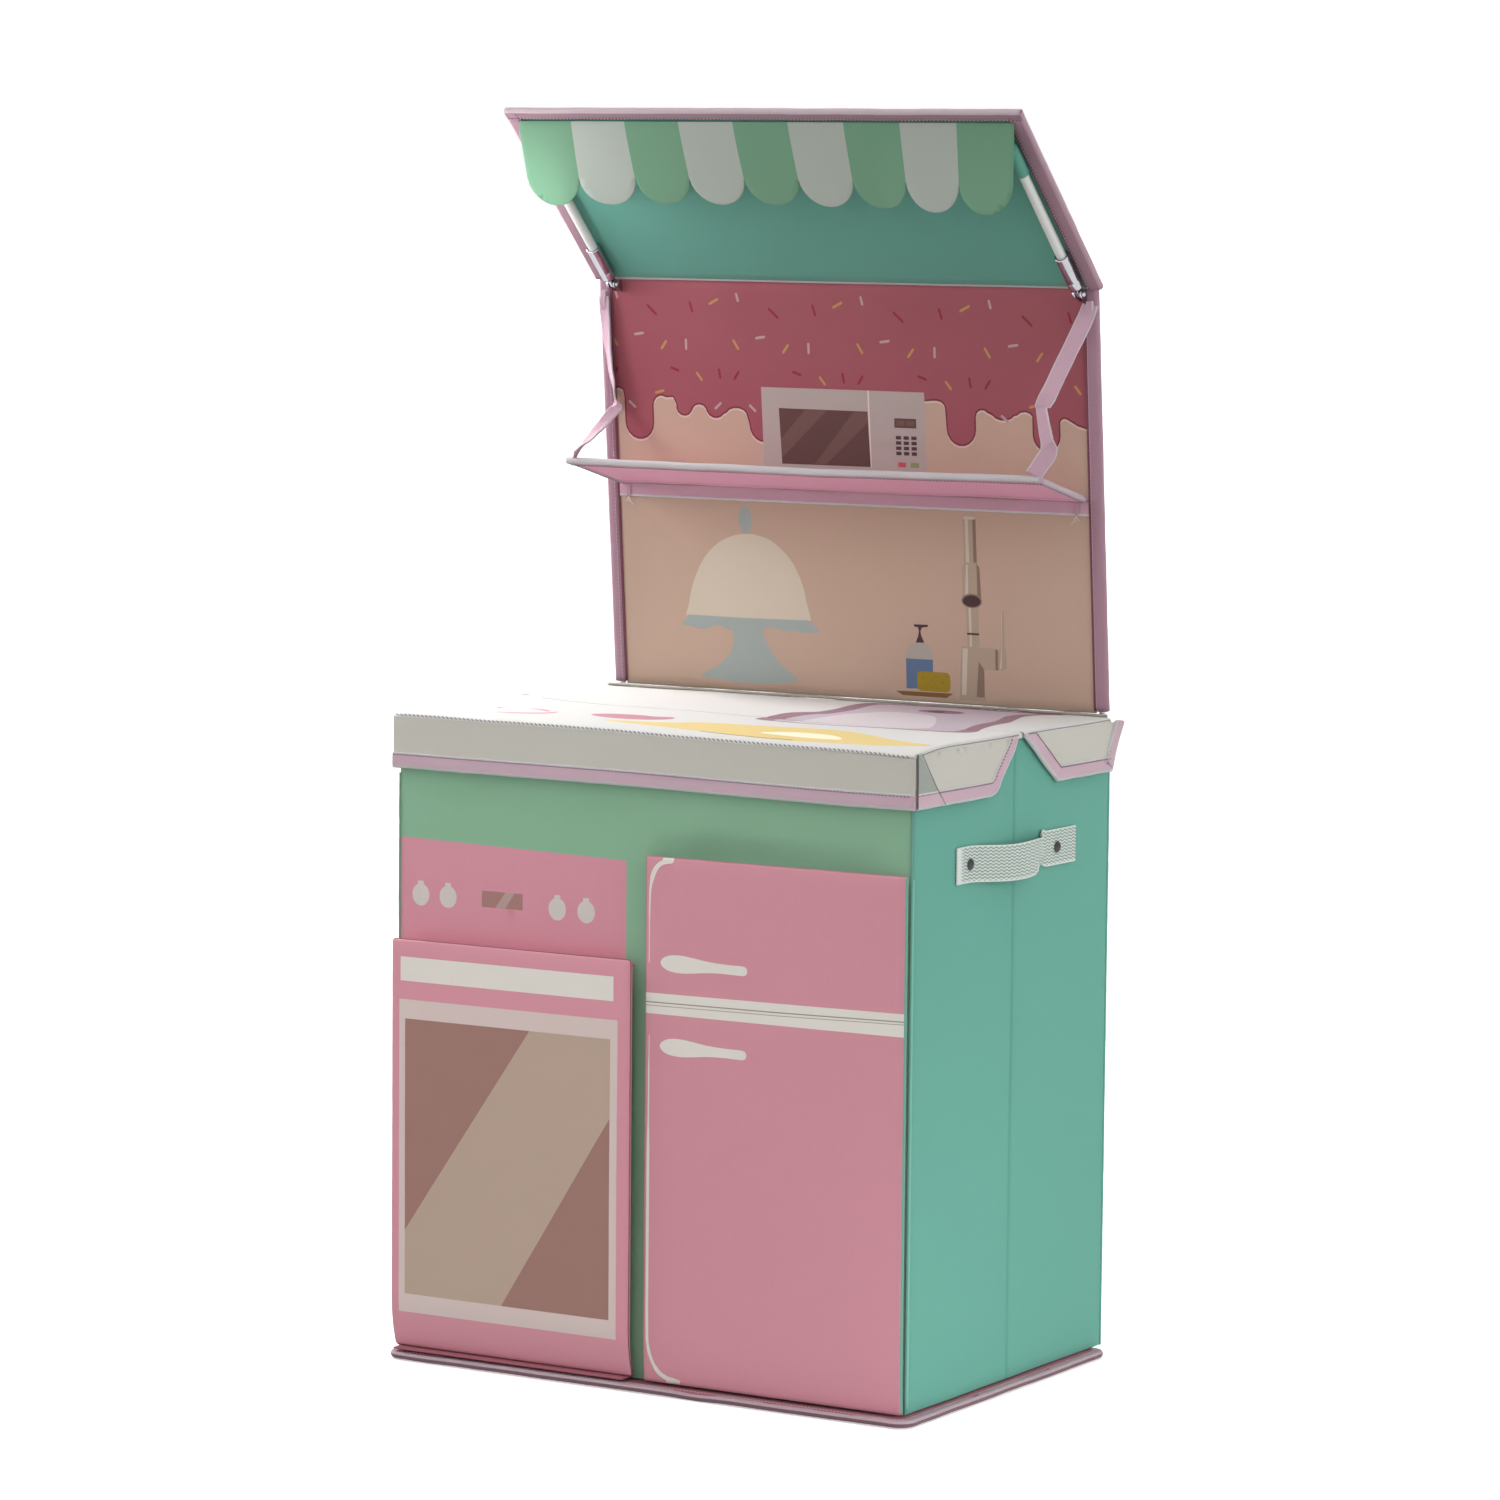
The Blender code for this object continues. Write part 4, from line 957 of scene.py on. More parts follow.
def make_lid_top():
    sink = curve([(40, -24), (20, -22), (8, -10), (4, 14), (6, 42), (16, 54), (26, 64), (27, 92), (20, 130),
            (22, 152), (42, 158), (98, 161), (206, 161),
                  (194, 146), (190, 124), (197, 98), (204, 74), (205, 44), (210, 14), (218, -8), (208, -22),
                  (150, -24)], steps=4)
    basin = curve([(46, -18), (30, -16), (22, 0), (24, 30), (32, 48), (42, 58), (44, 92), (37, 128), (40, 146),
            (60, 151), (110, 154), (184, 154),
                   (178, 140), (176, 118), (184, 94), (190, 70), (190, 40), (196, 12), (200, -8), (190, -17),
                   (120, -18)], steps=4)
    shine = curve([(52, -12), (40, -4), (40, 20), (48, 44), (60, 72), (84, 96), (120, 88), (142, 60), (160, 20),
            (158, -6), (120, -13)], steps=4)
    egg = curve([(-66, -128), (-38, -117), (-14, -104), (4, -84), (40, -76), (80, -70), (124, -71), (166, -90),
            (202, -112), (236, -121),
                 (240, -131), (204, -145), (168, -151), (130, -156), (92, -154), (40, -147), (-10, -141),
                 (-52, -135)], steps=4)
    shine_egg = curve([(84, -128), (100, -110), (128, -108), (152, -118), (160, -134), (124, -136)], steps=4)
    berry = curve([(-108, -83), (-98, -66), (-76, -58), (-60, -62), (-44, -57), (-36, -73), (-40, -92), (-60, -106),
            (-90, -102)], steps=4)
    prints = [
        (sink[::-1], "sink"), (basin[::-1], "sink_mid"), (shine[::-1], "sink_light"),
        (ellipse(113, 120, 22, 12), "sink"), (ellipse(117, 119, 16, 8), "sink_deep"),
        (ellipse(122, 120, 8, 4), "sink"),
        (egg[::-1], "yolk"), (shine_egg[::-1], "yolk_light"), (berry[::-1], "berry"),
        (stroke([(-199, -88), (-205, -76), (-202, -66)], [2, 5, 2]), "ring"),
        (stroke([(-182, -66), (-168, -71), (-157, -79), (-149, -88)], [2, 7, 8, 3]), "ring"),
        (stroke([(-176, -126), (-158, -122), (-145, -114), (-139, -100), (-141, -86)], [3, 13, 15, 11, 3]), "ring"),
        # Painted shade: a grey line along the worktop's fold, and a dark patch just behind the fold's left end.
        (rectangle(-222, lid_fold_y - 2.6, 300, lid_fold_y + 1.4), "fold_crease_shade"),
        (rectangle(-252, lid_fold_y + 4, -240, lid_fold_y + 14), "fold_crease_shade"),
        (stroke([(38, -147.5), (70, -151.5), (104, -152.5), (128, -151)], 1.6), "tray"),
    ]
    x = low_high("lid_front_skirt_right")[1].x - 0.4
    outline = rounded(-x, lid_front_y + 0.4, x, lid_rear_high.y, 2.5, 3)
    top = lid_high.z

    def place(u, v, depth):
        return Vector((u, v, top - depth + lid_height(u, v) * (1 if depth < 4 else 0.35 if depth < 5 else 0.0))) * MM

    rim = [(3.2, 0.0), (1.6, 0.4), (0.5, 1.4), (0.0, 2.8), (0.0, 4.2), (0.8, 5.4), (2.0, 5.8)]
    creases = [[(-x, lid_fold_y + d), (x, lid_fold_y + d)] for d in (-7, -4, -2, -0.8, 0, 0.8, 2, 4, 7)]
    cover = printed_sheet("worktop_cover", outline, prints, "lid_white", place, rim, 8.0, creases=creases,
            back="lining")
    finish_piece(cover, replaces=["lid_front_panel", "lid_rear_panel"], blend=LID_BLEND)

    def rim_z(x_, y_):
        return top - 2.2 + lid_height(x_, y_)

    ease = 0.9
    run = [Vector((u, lid_front_y - 1.1, rim_z(u, lid_front_y + 2) + ease)) * MM
            for u in np.linspace(-x + 3, x - 3, 60)]
    out = Vector((0, -1, 0.7)).normalized()
    # The stitches are tinted grey, partly the thread's colour and partly painted shade.
    row = stitches("worktop_front_stitching", run, out, 4.2, 2.9, 0.55, "thread_and_shadow_grey", 0.8, 0.6)
    finish_piece(row, "lid_front")
    ends = {"lid_front": (lid_front_y + 4, lid_fold_y - 8), "lid_rear": (lid_fold_y + 8, lid_rear_high.y - 4)}
    for side, name in SIDES:
        for body, (a, b) in ends.items():
            run = [Vector((side * (x + 0.35), y, rim_z(side * (x - 2), y))) * MM for y in np.linspace(a, b, 30)]
            out = Vector((side, 0, 0.7)).normalized()
            label = f"worktop_side_stitching_{body}_{name}"
            # These stitches take the same grey, partly painted shade.
            row = stitches(label, run, out, 4.3, 3.4, 0.34, "thread_and_shadow_grey", 0.25, 0.2)
            finish_piece(row, body)


SKIRT_RIM = [(0.8, 0.1), (0.2, 0.35), (0.0, 0.8), (0.0, 1.7), (0.3, 2.2), (0.8, 2.5)]


def make_skirts():
    x = low_high("lid_front_skirt_right")[1].x
    bottom, top = lid_low.z - 42.5, lid_high.z - 4.2

    def front_place(u, v, depth):
        t = min(1.0, max(0.0, (top - v) / (top - bottom)))
        wave = (0.8 * wobble(u, v, 61, 90) + 0.35 * wobble(u, v, 62, 28)) * min(1.0, t * 1.6)
        hang = 0.7 * t * t
        near_top = (1 - t) ** 1.5
        belly = 0.8 * t * math.sin((u + x) / (2 * x) * math.pi)
        z = v + (lid_height(u, lid_front_y + 3) + 0.6) * near_top * 0.8 - belly
        z += front_lift(u) * (1 - 0.8 * near_top)
        return Vector((u, lid_front_y + depth - wave - hang, z)) * MM

    outline = rectangle(-x + 0.2, bottom, x - 0.2, top)
    skirt = printed_sheet("skirt_front_cover", outline, [], "skirt", front_place, SKIRT_RIM, 8.0)
    finish_piece(skirt, "lid_front", ["lid_skirt_front"])
    cut_cloth(outline)
    edge_tape("skirt_front_binding", [(-x + 0.1, bottom), (x - 0.1, bottom)], front_place, -Y, 12.6, 2.5,
            "binding_pink", 63, "lid_front")

    for side, name in SIDES:
        def side_place(u, v, depth, side=side):
            y = u * side
            t = min(1.0, max(0.0, (top - v) / (top - bottom)))
            flare = 5.5 * max(0.0, (y - 150) / 32) ** 1.6 * (0.35 + 0.65 * (1 - t)) if y > 150 else 0.0
            wave = (0.7 * wobble(u, v, 64 + side, 60) + 0.4 * wobble(u, v, 66 + side, 22)) * min(1.0, t * 1.6)
            near_notch = 1.3 * bell(y - lid_fold_y, 26) * t
            lift = front_lift(side * x) * bell(y - lid_front_y, 75)
            return Vector((side * (x - depth + wave + flare + near_notch + 0.5 * t), y, v + lift)) * MM

        ys = front_y - 1.2
        corner = arc(-44, bottom + 20, 20, 20, -90, -25, 7)[1:]
        flap = [(ys, top), (ys, bottom), (-44, bottom), *corner, (-4, top - 10), (2.5, top + 0.5)]
        rear_skirt_low, rear_skirt_high = low_high("lid_rear_skirt_right")
        rear = [(15, top + 0.5), (22, top - 5), (72, rear_skirt_low.z), (166, rear_skirt_low.z),
                (rear_skirt_high.y - 1.5, top)]
        for part, shape, edge in (("front", flap, flap[1:]), ("rear", rear, rear)):
            if side < 0:
                shape, edge = [(-u, v) for u, v in shape][::-1], [(-u, v) for u, v in edge][::-1]
            body, node = f"lid_{part}", f"lid_{part}_skirt_{name}"
            cover = printed_sheet(node + "_cover", shape, [], "skirt", side_place, SKIRT_RIM, 6.0)
            finish_piece(cover, body, [node])
            cut_cloth(shape)
            edge_tape(node + "_binding", edge, side_place, X * side, 12.6, 2.5, "binding_pink", 67 + side, body,
                      ceiling=top + 1.6 + front_lift(side * x))

        # The end of the front skirt, folded round the corner and sewn down on the side.
        if side > 0:
            tab = [(ys - 1, top), (ys - 1, bottom + 0.5), (-118, bottom + 0.5), (-135, 512), (-158, top)]

            def tab_place(u, v, depth, side=side):
                p = side_place(u, v, 0.0)
                return p + Vector((side * (1.5 - depth * 0.6), 0, 0)) * MM
            # Printed on the tab: the binding's pink with paler painted highlights along both its edges, and grey
            # lines as painted shadow along the slanted edge and the corner.
            bands = ((-1, 12.8, "binding_pink"), (-1, 1.4, "binding_pink_edge"), (11.4, 12.8, "binding_pink_edge"))
            prints = [(rectangle(ys - 2, bottom + a, -100, bottom + b), tint) for a, b, tint in bands]
            prints += [(stroke([(-119.2, bottom - 1), (-136.2, 512), (-159.5, top + 1)], 1.1), "thread_and_shadow_grey"),
                       (stroke([(ys - 0.4, bottom - 1), (ys - 0.4, top + 1)], 1.2), "thread_and_shadow_grey")]
            # The tab is the skirt's own cloth, tinted greenish grey as a painted reflection of the teal side.
            cover = printed_sheet("skirt_corner_tab", tab, prints, "skirt_tab_reflected_teal", tab_place,
                                  [(0.5, 0.1), (0.0, 0.5), (0.0, 1.2), (0.5, 1.5)], 5.0, material=TAPE)
            finish_piece(cover, "lid_front")
            seam = resample(offset_line([(-119, bottom + 2), (-136, 512), (-159, top - 1)], 2.0), 4, False)
            row = stitches("skirt_corner_stitching", [tab_place(u, v, 0) for u, v in seam], X, 3.2, 2.2, 0.22)
            finish_piece(row, "lid_front")

    low, high = low_high("lid_rear_piping")
    y, z = (low.y + high.y) / 2, (low.z + high.z) / 2
    path = [Vector((u, y + 0.4 * wobble(u, 0, 71, 40), z - 0.2 + 0.35 * wobble(u, 0, 72, 26))) * MM
            for u in np.linspace(low.x, high.x, 150)]

    def fuzzy(i, j, a, b):
        return tuple(c * (1 + 0.22 * noise.noise(path[i] / MM / 2.2 + Vector((j, 0, 0)))) for c in (a, b))
    piece = sweep("worktop_rear_piping", path, Z, round_profile(1.35, 1.6, 12), "piping", TAPE, bulge=fuzzy)
    finish_piece(piece, "lid_rear", ["lid_rear_piping"])


# --- Backdrop ---
# The hinge lines of the leaning pieces, and how far each leans.
BACK_HINGE, BACK_TILT = (0, 177.51, 544.8), 4.95
SHELF_HINGE, SHELF_TILT = (0, 157.2, 727.2), -14.0
CANOPY_HINGE, CANOPY_TILT = (0, 135.7, 900.0), -44.5
POLE_X = 230.5
panel_low, panel_high = low_high("backdrop_panel")
back_at, back_y_axis, _ = leaning_plane(BACK_HINGE, BACK_TILT)
back_forward = -back_y_axis


def backdrop_prints():
    prints = []
    rim_x0, rim_x1 = panel_low.x - 2, panel_high.x + 2
    # Icing, with a darker line along its edge.
    edge = [(rim_x0, 263), (-231, 266), (-226, 264), (-224.5, 256)]
    edge += [(-224.5, 236)] + arc(-210.5, 235, 14, 14, 180, 360, 9) + [(-196.5, 250)]
    edge += arc(-187.5, 250, 9, 10, 180, 60, 5) + [(-175, 259), (-171.5, 252)]
    edge += arc(-164, 249, 7.5, 6, 180, 340, 5) + arc(-148.5, 247.5, 7.5, 6, 160, 20, 5)
    edge += arc(-132, 249.5, 9, 7.5, 200, 330, 5) + arc(-111, 244.5, 11, 7, 160, 20, 5)
    edge += [(-98.5, 240)] + arc(-84, 236, 13.5, 13.5, 180, 270, 5) + [(-60, 222), (60, 224), (70, 262), (84, 263.5)]
    edge += arc(88, 255, 8.5, 8.5, 90, 10, 4) + [(97.5, 240)]
    edge += arc(111, 239, 13.5, 13.5, 180, 360, 9) + [(124.5, 250)]
    edge += arc(131.5, 250, 7, 7, 180, 40, 4) + arc(151.5, 255, 11, 6.5, 200, 340, 5)
    edge += arc(172, 250, 8.5, 6.5, 150, 20, 4) + [(180, 240)]
    edge += arc(192.5, 236, 12.5, 12.5, 180, 360, 9) + [(205, 246)]
    edge += arc(210, 247, 5, 5, 170, 60, 3) + [(222, 246), (rim_x1, 243)]
    body = [(rim_x1, panel_high.z), (rim_x0, panel_high.z)]
    prints += [
        (stroke([(u, v - 1.9) for u, v in edge], 1.3), "tile_light"),
        (body + edge, "icing"),
        (stroke(edge, 1.5), "icing_edge"),
    ]
    tile_gap = 123.5
    marks = [
        ((-199, 339), (-189, 330), "sprinkle_red"), ((-155, 343), (-152, 333), "sprinkle_red"),
        ((-135, 340.5), (-125, 345.5), "sprinkle_yellow"), ((-107, 351), (-105, 343), "sprinkle_white"),
        ((-213, 312.5), (-203, 314), "sprinkle_white"), ((-186, 300), (-180, 308), "sprinkle_yellow"),
        ((-160, 310), (-160, 300), "sprinkle_white"), ((-112, 310.5), (-106.5, 301.5), "sprinkle_yellow"),
        ((-177, 284.5), (-168, 281.5), "sprinkle_red"), ((-150.5, 281), (-144.5, 273.5), "sprinkle_yellow"),
        ((-127.5, 285), (-126, 275.5), "sprinkle_red"), ((-112.5, 275), (-107, 283), "sprinkle_red"),
        ((-194, 261.5), (-184, 264), "sprinkle_yellow"), ((-221, 254), (-214, 248), "sprinkle_white"),
        ((-133, 249), (-126, 255), "sprinkle_white"), ((-98, 254), (-91, 248), "sprinkle_white"),
    ]
    for tile in range(-1, 4):
        for (ax, ay), (bx, by), colour in marks:
            dx, dy = tile * tile_gap, -tile * 0.6
            low_one = min(ay, by) < 258
            if rim_x0 < ax + dx < rim_x1 and not (low_one and tile not in (0, 3)):
                length = math.hypot(bx - ax, by - ay)
                tx, ty = (bx - ax) / length, (by - ay) / length
                line = [(ax + dx, ay + dy), (ax + dx + tx, ay + dy + ty), (bx + dx - tx, by + dy - ty),
                        (bx + dx, by + dy)]
                prints.append((stroke(line, [0.9, 2.3, 2.3, 0.9]), colour))
    # Microwave.
    prints.append(([(-84.6, 199.5), (76.4, 202.0), (75.8, 269.4), (-85.2, 269.8)], "appliance"))
    prints.append(([(20.6, 203.4), (22.2, 203.4), (21.6, 269.6), (20.0, 269.6)], "frame_cream"))
    window = [(-66.4, 203.6), (21.2, 203.6), (19.6, 251.4), (-68.0, 252.0)]
    prints += [
        (window, "window"),
        ([(-66.0, 209.0), (-20.5, 251.2), (-42.0, 251.4), (-67.0, 225.0)], "window_glint"),
        ([(-34.5, 204.4), (-23.0, 204.4), (19.2, 241.5), (19.0, 250.6), (6.0, 250.8)], "window_glint"),
        (rectangle(45.8, 238.4, 67.2, 246.6), "screen"),
    ]
    for i in range(2):
        prints.append((rectangle(48.0 + 9.4 * i, 240.2, 55.8 + 9.4 * i, 244.9), "window_glint"))
    for row in range(4):
        for column in range(3):
            cx, cy = 49.4 + 7.6 * column, 229.9 - 4.5 * row
            prints.append((rectangle(cx - 2.6, cy - 1.5, cx + 2.6, cy + 1.5), "key"))
    prints.append((rounded(48.4, 204.6, 56.0, 208.8, 0.8, 2), "button_red"))
    prints.append((rounded(60.6, 204.6, 69.0, 208.8, 0.8, 2), "button_green"))
    # Cake stand under its dome.
    prints.append((curve([(-106, 165), (-111.5, 160), (-113, 151), (-109, 142), (-106, 138), (-102.5, 142),
            (-99.6, 152), (-101, 161)], steps=4)[::-1], "grey_plate"))
    prints.append((curve([(-107, 140.5), (-122, 137.5), (-138, 129), (-152, 114), (-162, 94), (-167, 76),
            (-168.4, 64), (-140, 62), (-80, 62),
                          (-46, 64), (-47, 82), (-52, 102), (-62, 120), (-78, 134), (-93, 139.5)], steps=4)[::-1],
                          "dome"))
    plate = [(-168.6, 66.4), (-171, 62), (-175.5, 57.5), (-167, 56.4)]
    plate += curve([(-160, 54.8), (-152, 54.2), (-143, 57.6), (-136, 58.4), (-128, 55.4), (-120, 54.2), (-111, 56.4),
            (-103, 54.6), (-94, 56.6), (-85, 59.6), (-77, 58.2),
                    (-69, 56.6), (-60, 57.4), (-52, 55.4), (-44, 56.4), (-34.5, 57)], False, 3)
    plate += [(-38, 61), (-45.4, 67.2), (-107, 66.2)]
    prints.append((plate, "grey_plate"))
    prints.append((curve([(-121, 57), (-122, 46), (-126, 35), (-137, 24), (-156.5, 13.6), (-150, 11.6), (-130, 9.6),
            (-104, 8.8), (-80, 9.8), (-62, 12.6),
                          (-58.5, 15), (-70, 23), (-82, 35), (-90, 48), (-93, 58), (-107, 59)], steps=4),
                          "grey_plate"))
    # Tap.
    for x0, x1, tint in ((109.6, 122.0, "tap"), (111.6, 114.6, "tap_light"), (118.8, 122.0, "tap_dark")):
        prints.append((rectangle(x0, 122, x1, 163.6), tint))
    prints += [
        (curve([(109.6, 163), (112, 164.6), (119, 164.6), (122, 163), (119, 162.2), (112, 162.2)], steps=3)[::-1],
        "tap_light"),
        (rectangle(110.2, 52.4, 122.0, 88), "tap"),
        (rectangle(112.4, 52.4, 114.8, 88), "tap_light"),
        (rectangle(110.2, 62.6, 122.0, 64.2), "nozzle"),
        ([(106.8, 93.6), (125.2, 94.0), (124.4, 121.0), (121.4, 125.2), (110.0, 125.0), (107.4, 120.6)], "tap"),
        ([(109.4, 94), (112.6, 94), (113.2, 123.5), (111.4, 123.5)], "tap_light"),
        ([(121.4, 94), (125.2, 94), (124.4, 121.0), (121.6, 124.5)], "tap_dark"),
        (ellipse(115.8, 92.0, 10.0, 6.2), "tap_dark"),
        (ellipse(115.8, 91.8, 8.6, 5.0), "nozzle"),
        ([(101.6, 8.2), (126.0, 8.2), (126.2, 33.0), (138.4, 33.0), (138.8, 51.8), (104.6, 52.4), (102.6, 30)],
        "tap"),
        ([(103.6, 10.2), (108.0, 10.2), (110.6, 50.6), (105.6, 50.6)], "tap_light"),
        ([(118, 8.2), (126.0, 8.2), (126.2, 33.0), (121, 40)], "tap_dark"),
        (rectangle(137.2, 33.4, 140.2, 51.0), "tap_dark"),
        (rounded(101.0, 5.4, 127.4, 9.0, 1.4, 3), "tap"),
        ([(139.8, 35.2), (141.6, 33.6), (146.6, 33.8), (148.2, 36), (148.2, 46.5), (146.6, 53.4), (146.8, 84.6),
        (143.4, 84.4), (142.4, 53.0), (140.0, 47.5)], "tap"),
        ([(141.6, 35), (143.2, 35), (144.6, 84), (143.8, 84), (143.2, 53)], "tap_light"),
    ]
    # Soap, sponge and tray.
    bottle = [(49.4, 12.8), (75.4, 13.6), (76.2, 42)] + curve([(75.8, 45), (72.6, 51), (66.8, 53.2), (60.0, 53.0),
            (53.6, 50.6), (49.9, 44.4)], False, 3)
    prints += [
        (bottle, "soap_label"),
        ([(49.4, 12.8), (75.4, 13.6), (76.2, 39.0), (49.6, 38.8)], "soap"),
        ([(59.8, 53.2), (68.2, 53.4), (65.4, 59.4), (64.8, 63.2), (66.4, 66.6), (72.2, 67.4), (72.2, 69.2),
        (58.4, 69.0), (58.6, 67.2), (62.6, 66.4), (63.2, 63.0), (62.4, 59.2)], "pump"),
        (rounded(60.0, 11.2, 92.6, 28.4, 4.2, 4), "sponge"),
    ]
    for cx, cy, r in ((65.5, 23.5, 1.3), (71, 17, 0.9), (78.5, 24.8, 1.1), (85, 19.5, 1.3), (88.6, 25, 0.8),
            (67.5, 14.6, 0.8), (80, 14.2, 1.0), (74.5, 21, 0.7)):
        prints.append((ellipse(cx, cy, r, r * 0.8, 8), "sponge_hole"))
    prints.append(([(45.6, 6.6), (88.4, 6.4), (95.2, 10.6), (38.8, 10.2)], "tray"))
    return [([(u * 1.0065 - 2.3, v) for u, v in shape], tint) for shape, tint in prints]


def make_backdrop():
    thick = 4.0

    def place(u, v, depth):
        edge = min(1.0, (u - panel_low.x) / 30, (panel_high.x - u) / 30)
        soft = (1.0 * wobble(u, v, 81, 140) + 0.4 * wobble(u, v, 82, 45)) * max(0.0, edge)
        pulls = 0.5 * math.sin(u / 26 + 1.4 * wobble(u, v, 83, 90)) * bell(v - 350, 40) * max(0.0, edge)
        return back_at(u, -thick / 2 + depth - (soft + pulls) * (1 if depth < 2 else 0.7), v)

    outline = rectangle(panel_low.x, 1.4, panel_high.x, 362.5)
    cover = printed_sheet("backdrop_cover", outline, backdrop_prints(), "tile", place,
            [(0.8, 0.1), (0.2, 0.5), (0.0, 1.3), (0.0, 2.7), (0.3, 3.6), (0.8, 4.0)], 9.0, back="lining")
    finish_piece(cover, "backdrop", ["backdrop_panel"])

    for side, name in SIDES:
        node = "backdrop_casing_" + name
        low, high = low_high(node)
        x = (low.x + high.x) / 2
        w = (high.x - low.x) / 2
        path = [back_at(x, 0, v) for v in np.linspace(3.6, 362.5, 60)]
        profile = []
        for k in range(22):
            angle = 2 * math.pi * k / 22
            c, s = math.cos(angle), math.sin(angle)
            profile.append((4.6 * math.copysign(abs(c) ** 0.8, c) * MM, w * math.copysign(abs(s) ** 0.7, s) * MM))

        def folds(i, j, a, b, path=path, side=side):
            at = path[i] / MM
            k = 1 + 0.10 * noise.noise(Vector((at.z / 24, j / 3.0, side * 5))) + 0.05 * noise.noise(Vector((at.z / 7,
                    j / 2.0, side)))
            return a * k, b * (1 + 0.05 * noise.noise(Vector((at.z / 18, 3, j / 4.0))))
        casing = sweep(node + "_cover", path, back_forward, profile, "casing_pink", TAPE, bulge=folds)
        finish_piece(casing, "backdrop", [node])
        inner = x - side * (w + 0.4)
        seam_path = [back_at(inner, -2.3, v) for v in np.linspace(4, 362, 50)]
        flat = in_metres([(0.55, -1.0), (0.75, 0.0), (0.55, 1.0), (-0.3, 1.1), (-0.3, -1.1)])
        seam = sweep(node + "_seam", seam_path, back_forward, flat, "seam_red", TAPE)
        finish_piece(seam, "backdrop")
        row_path = [back_at(x - side * (w - 2.2), -5.1, v) for v in np.linspace(6, 360, 50)]
        row = stitches(node + "_stitching", row_path, back_forward, 3.4, 2.4, 0.22, "binding_pink")
        finish_piece(row, "backdrop")

    # The hem along the foot of the panel.
    hem = [back_at(u, -2.3, 3.4 + 0.15 * wobble(u, 0, 84, 30))
            for u in np.linspace(panel_low.x + 1, panel_high.x - 1, 60)]
    row = stitches("backdrop_foot_stitching", hem, back_forward, 3.6, 2.5, 0.2, "tile")
    finish_piece(row, "backdrop")

    # The band that carries the shelf: a folded tape sewn across the panel.
    node_low, node_high = low_high("shelf_seam_band")

    def band_place(u, v, depth):
        return back_at(u, -3.7 + depth + 0.25 * wobble(u, v, 85, 25), v)
    outline = rectangle(node_low.x, 169.5, node_high.x, 181.5)
    # A paler strip along the band's lower edge, a painted highlight.
    prints = [(rectangle(node_low.x - 1, 169, node_high.x + 1, 171.6), "binding_pink_edge")]
    band = printed_sheet("shelf_seam_tape", outline, prints, "band_pink", band_place,
                         [(0.8, 0.0), (0.2, 0.3), (0.0, 0.7), (0.2, 1.2)], 4.0, material=TAPE)
    finish_piece(band, "backdrop", ["shelf_seam_band"])
    for v in (171.2, 180.0):
        row = stitches(f"shelf_seam_stitching_{int(v)}", [band_place(u, v, -0.1)
                for u in np.linspace(node_low.x + 2, node_high.x - 2, 40)], back_forward, 3.2, 2.3, 0.2,
                "binding_pink")
        finish_piece(row, "backdrop")

    # A sewn bar near each end of the band, with loose thread ends below it.
    for (side, tag), x in zip(SIDES, (node_low.x + 10, node_high.x - 11)):
        bar = [back_at(x + 0.5 * k, -4.7, v) for k, v in enumerate((169.8, 172.5, 175.5, 178.5, 181.3))]
        finish_piece(ribbon(f"shelf_bar_{tag}", bar, [back_forward] * 5, 3.0, 0.8, "band_pink", 88), "backdrop")
        for k in range(3):
            lean = side * (1.8 - 2.6 * k)
            end = curve([(x, 170), (x + 0.4 * lean, 167.5), (x + lean, 165.8 - k), (x + 1.6 * lean, 165.4 - 1.4 * k)],
                    False, 4)
            thread = [back_at(u, -4.4 - 0.3 * k, v) for u, v in end]
            fibre = round_profile(0.2, 0.2, 5)
            piece = sweep(f"shelf_thread_{tag}_{k}", thread, back_forward, fibre, "shelf_tape_edge", THREAD)
            finish_piece(piece, "backdrop")


# --- Shelf and its straps ---
shelf_at, _, shelf_z_axis = leaning_plane(SHELF_HINGE, SHELF_TILT)


def make_shelf():
    low, high = low_high("shelf_panel")

    def place(u, v, depth):
        edge = min(1.0, (u - low.x) / 25, (high.x - u) / 25)
        soft = (0.7 * wobble(u, v, 91, 80) + 0.35 * wobble(u, v, 92, 24)) * max(0.0, edge)
        sag = -1.2 * math.sin(math.pi * min(1, max(0, (u - low.x) / (high.x - low.x)))) * (v / 90)
        return shelf_at(u, -v, -2.0 + depth - soft + sag)

    outline = [(low.x, 0.6), (high.x, 0.6), (high.x, 86.6), (low.x, 86.6)]
    rim = [(0.7, 0.1), (0.2, 0.5), (0.0, 1.2), (0.0, 2.8), (0.3, 3.6), (0.7, 4.0)]
    hems = [(rectangle(low.x, 0, low.x + 7, 90), "trim_pink"), (rectangle(high.x - 7, 0, high.x, 90), "trim_pink")]
    cover = printed_sheet("shelf_cover", outline, hems, "shelf_pink", place, rim, 6.0, back="shelf_pink")
    finish_piece(cover, "shelf", ["shelf_panel"])
    edge_tape("shelf_front_tape", [(high.x + 0.3, 87.2), (low.x - 0.3, 87.2)], place, -shelf_z_axis, 8.0, 4.0,
            "shelf_tape", 93, "shelf",
              replaces=["shelf_front_binding"])
    for x, tag in ((low.x + 0.4, "left"), (high.x - 0.4, "right")):
        line = [(x, 84.0), (x, 2.0)] if tag == "left" else [(x, 2.0), (x, 84.0)]
        edge_tape(f"shelf_end_tape_{tag}", line, place, -shelf_z_axis, 6.0, 4.0, "trim_pink", 94, "shelf", 0.5,
                sewn=False)
    for v in (12.0, 76.0):
        row = stitches(f"shelf_stitching_{int(v)}", [place(u, v, -0.15)
                for u in np.linspace(low.x + 8, high.x - 8, 50)], -shelf_z_axis, 3.4, 2.4, 0.2, "trim_pink")
        finish_piece(row, "shelf")


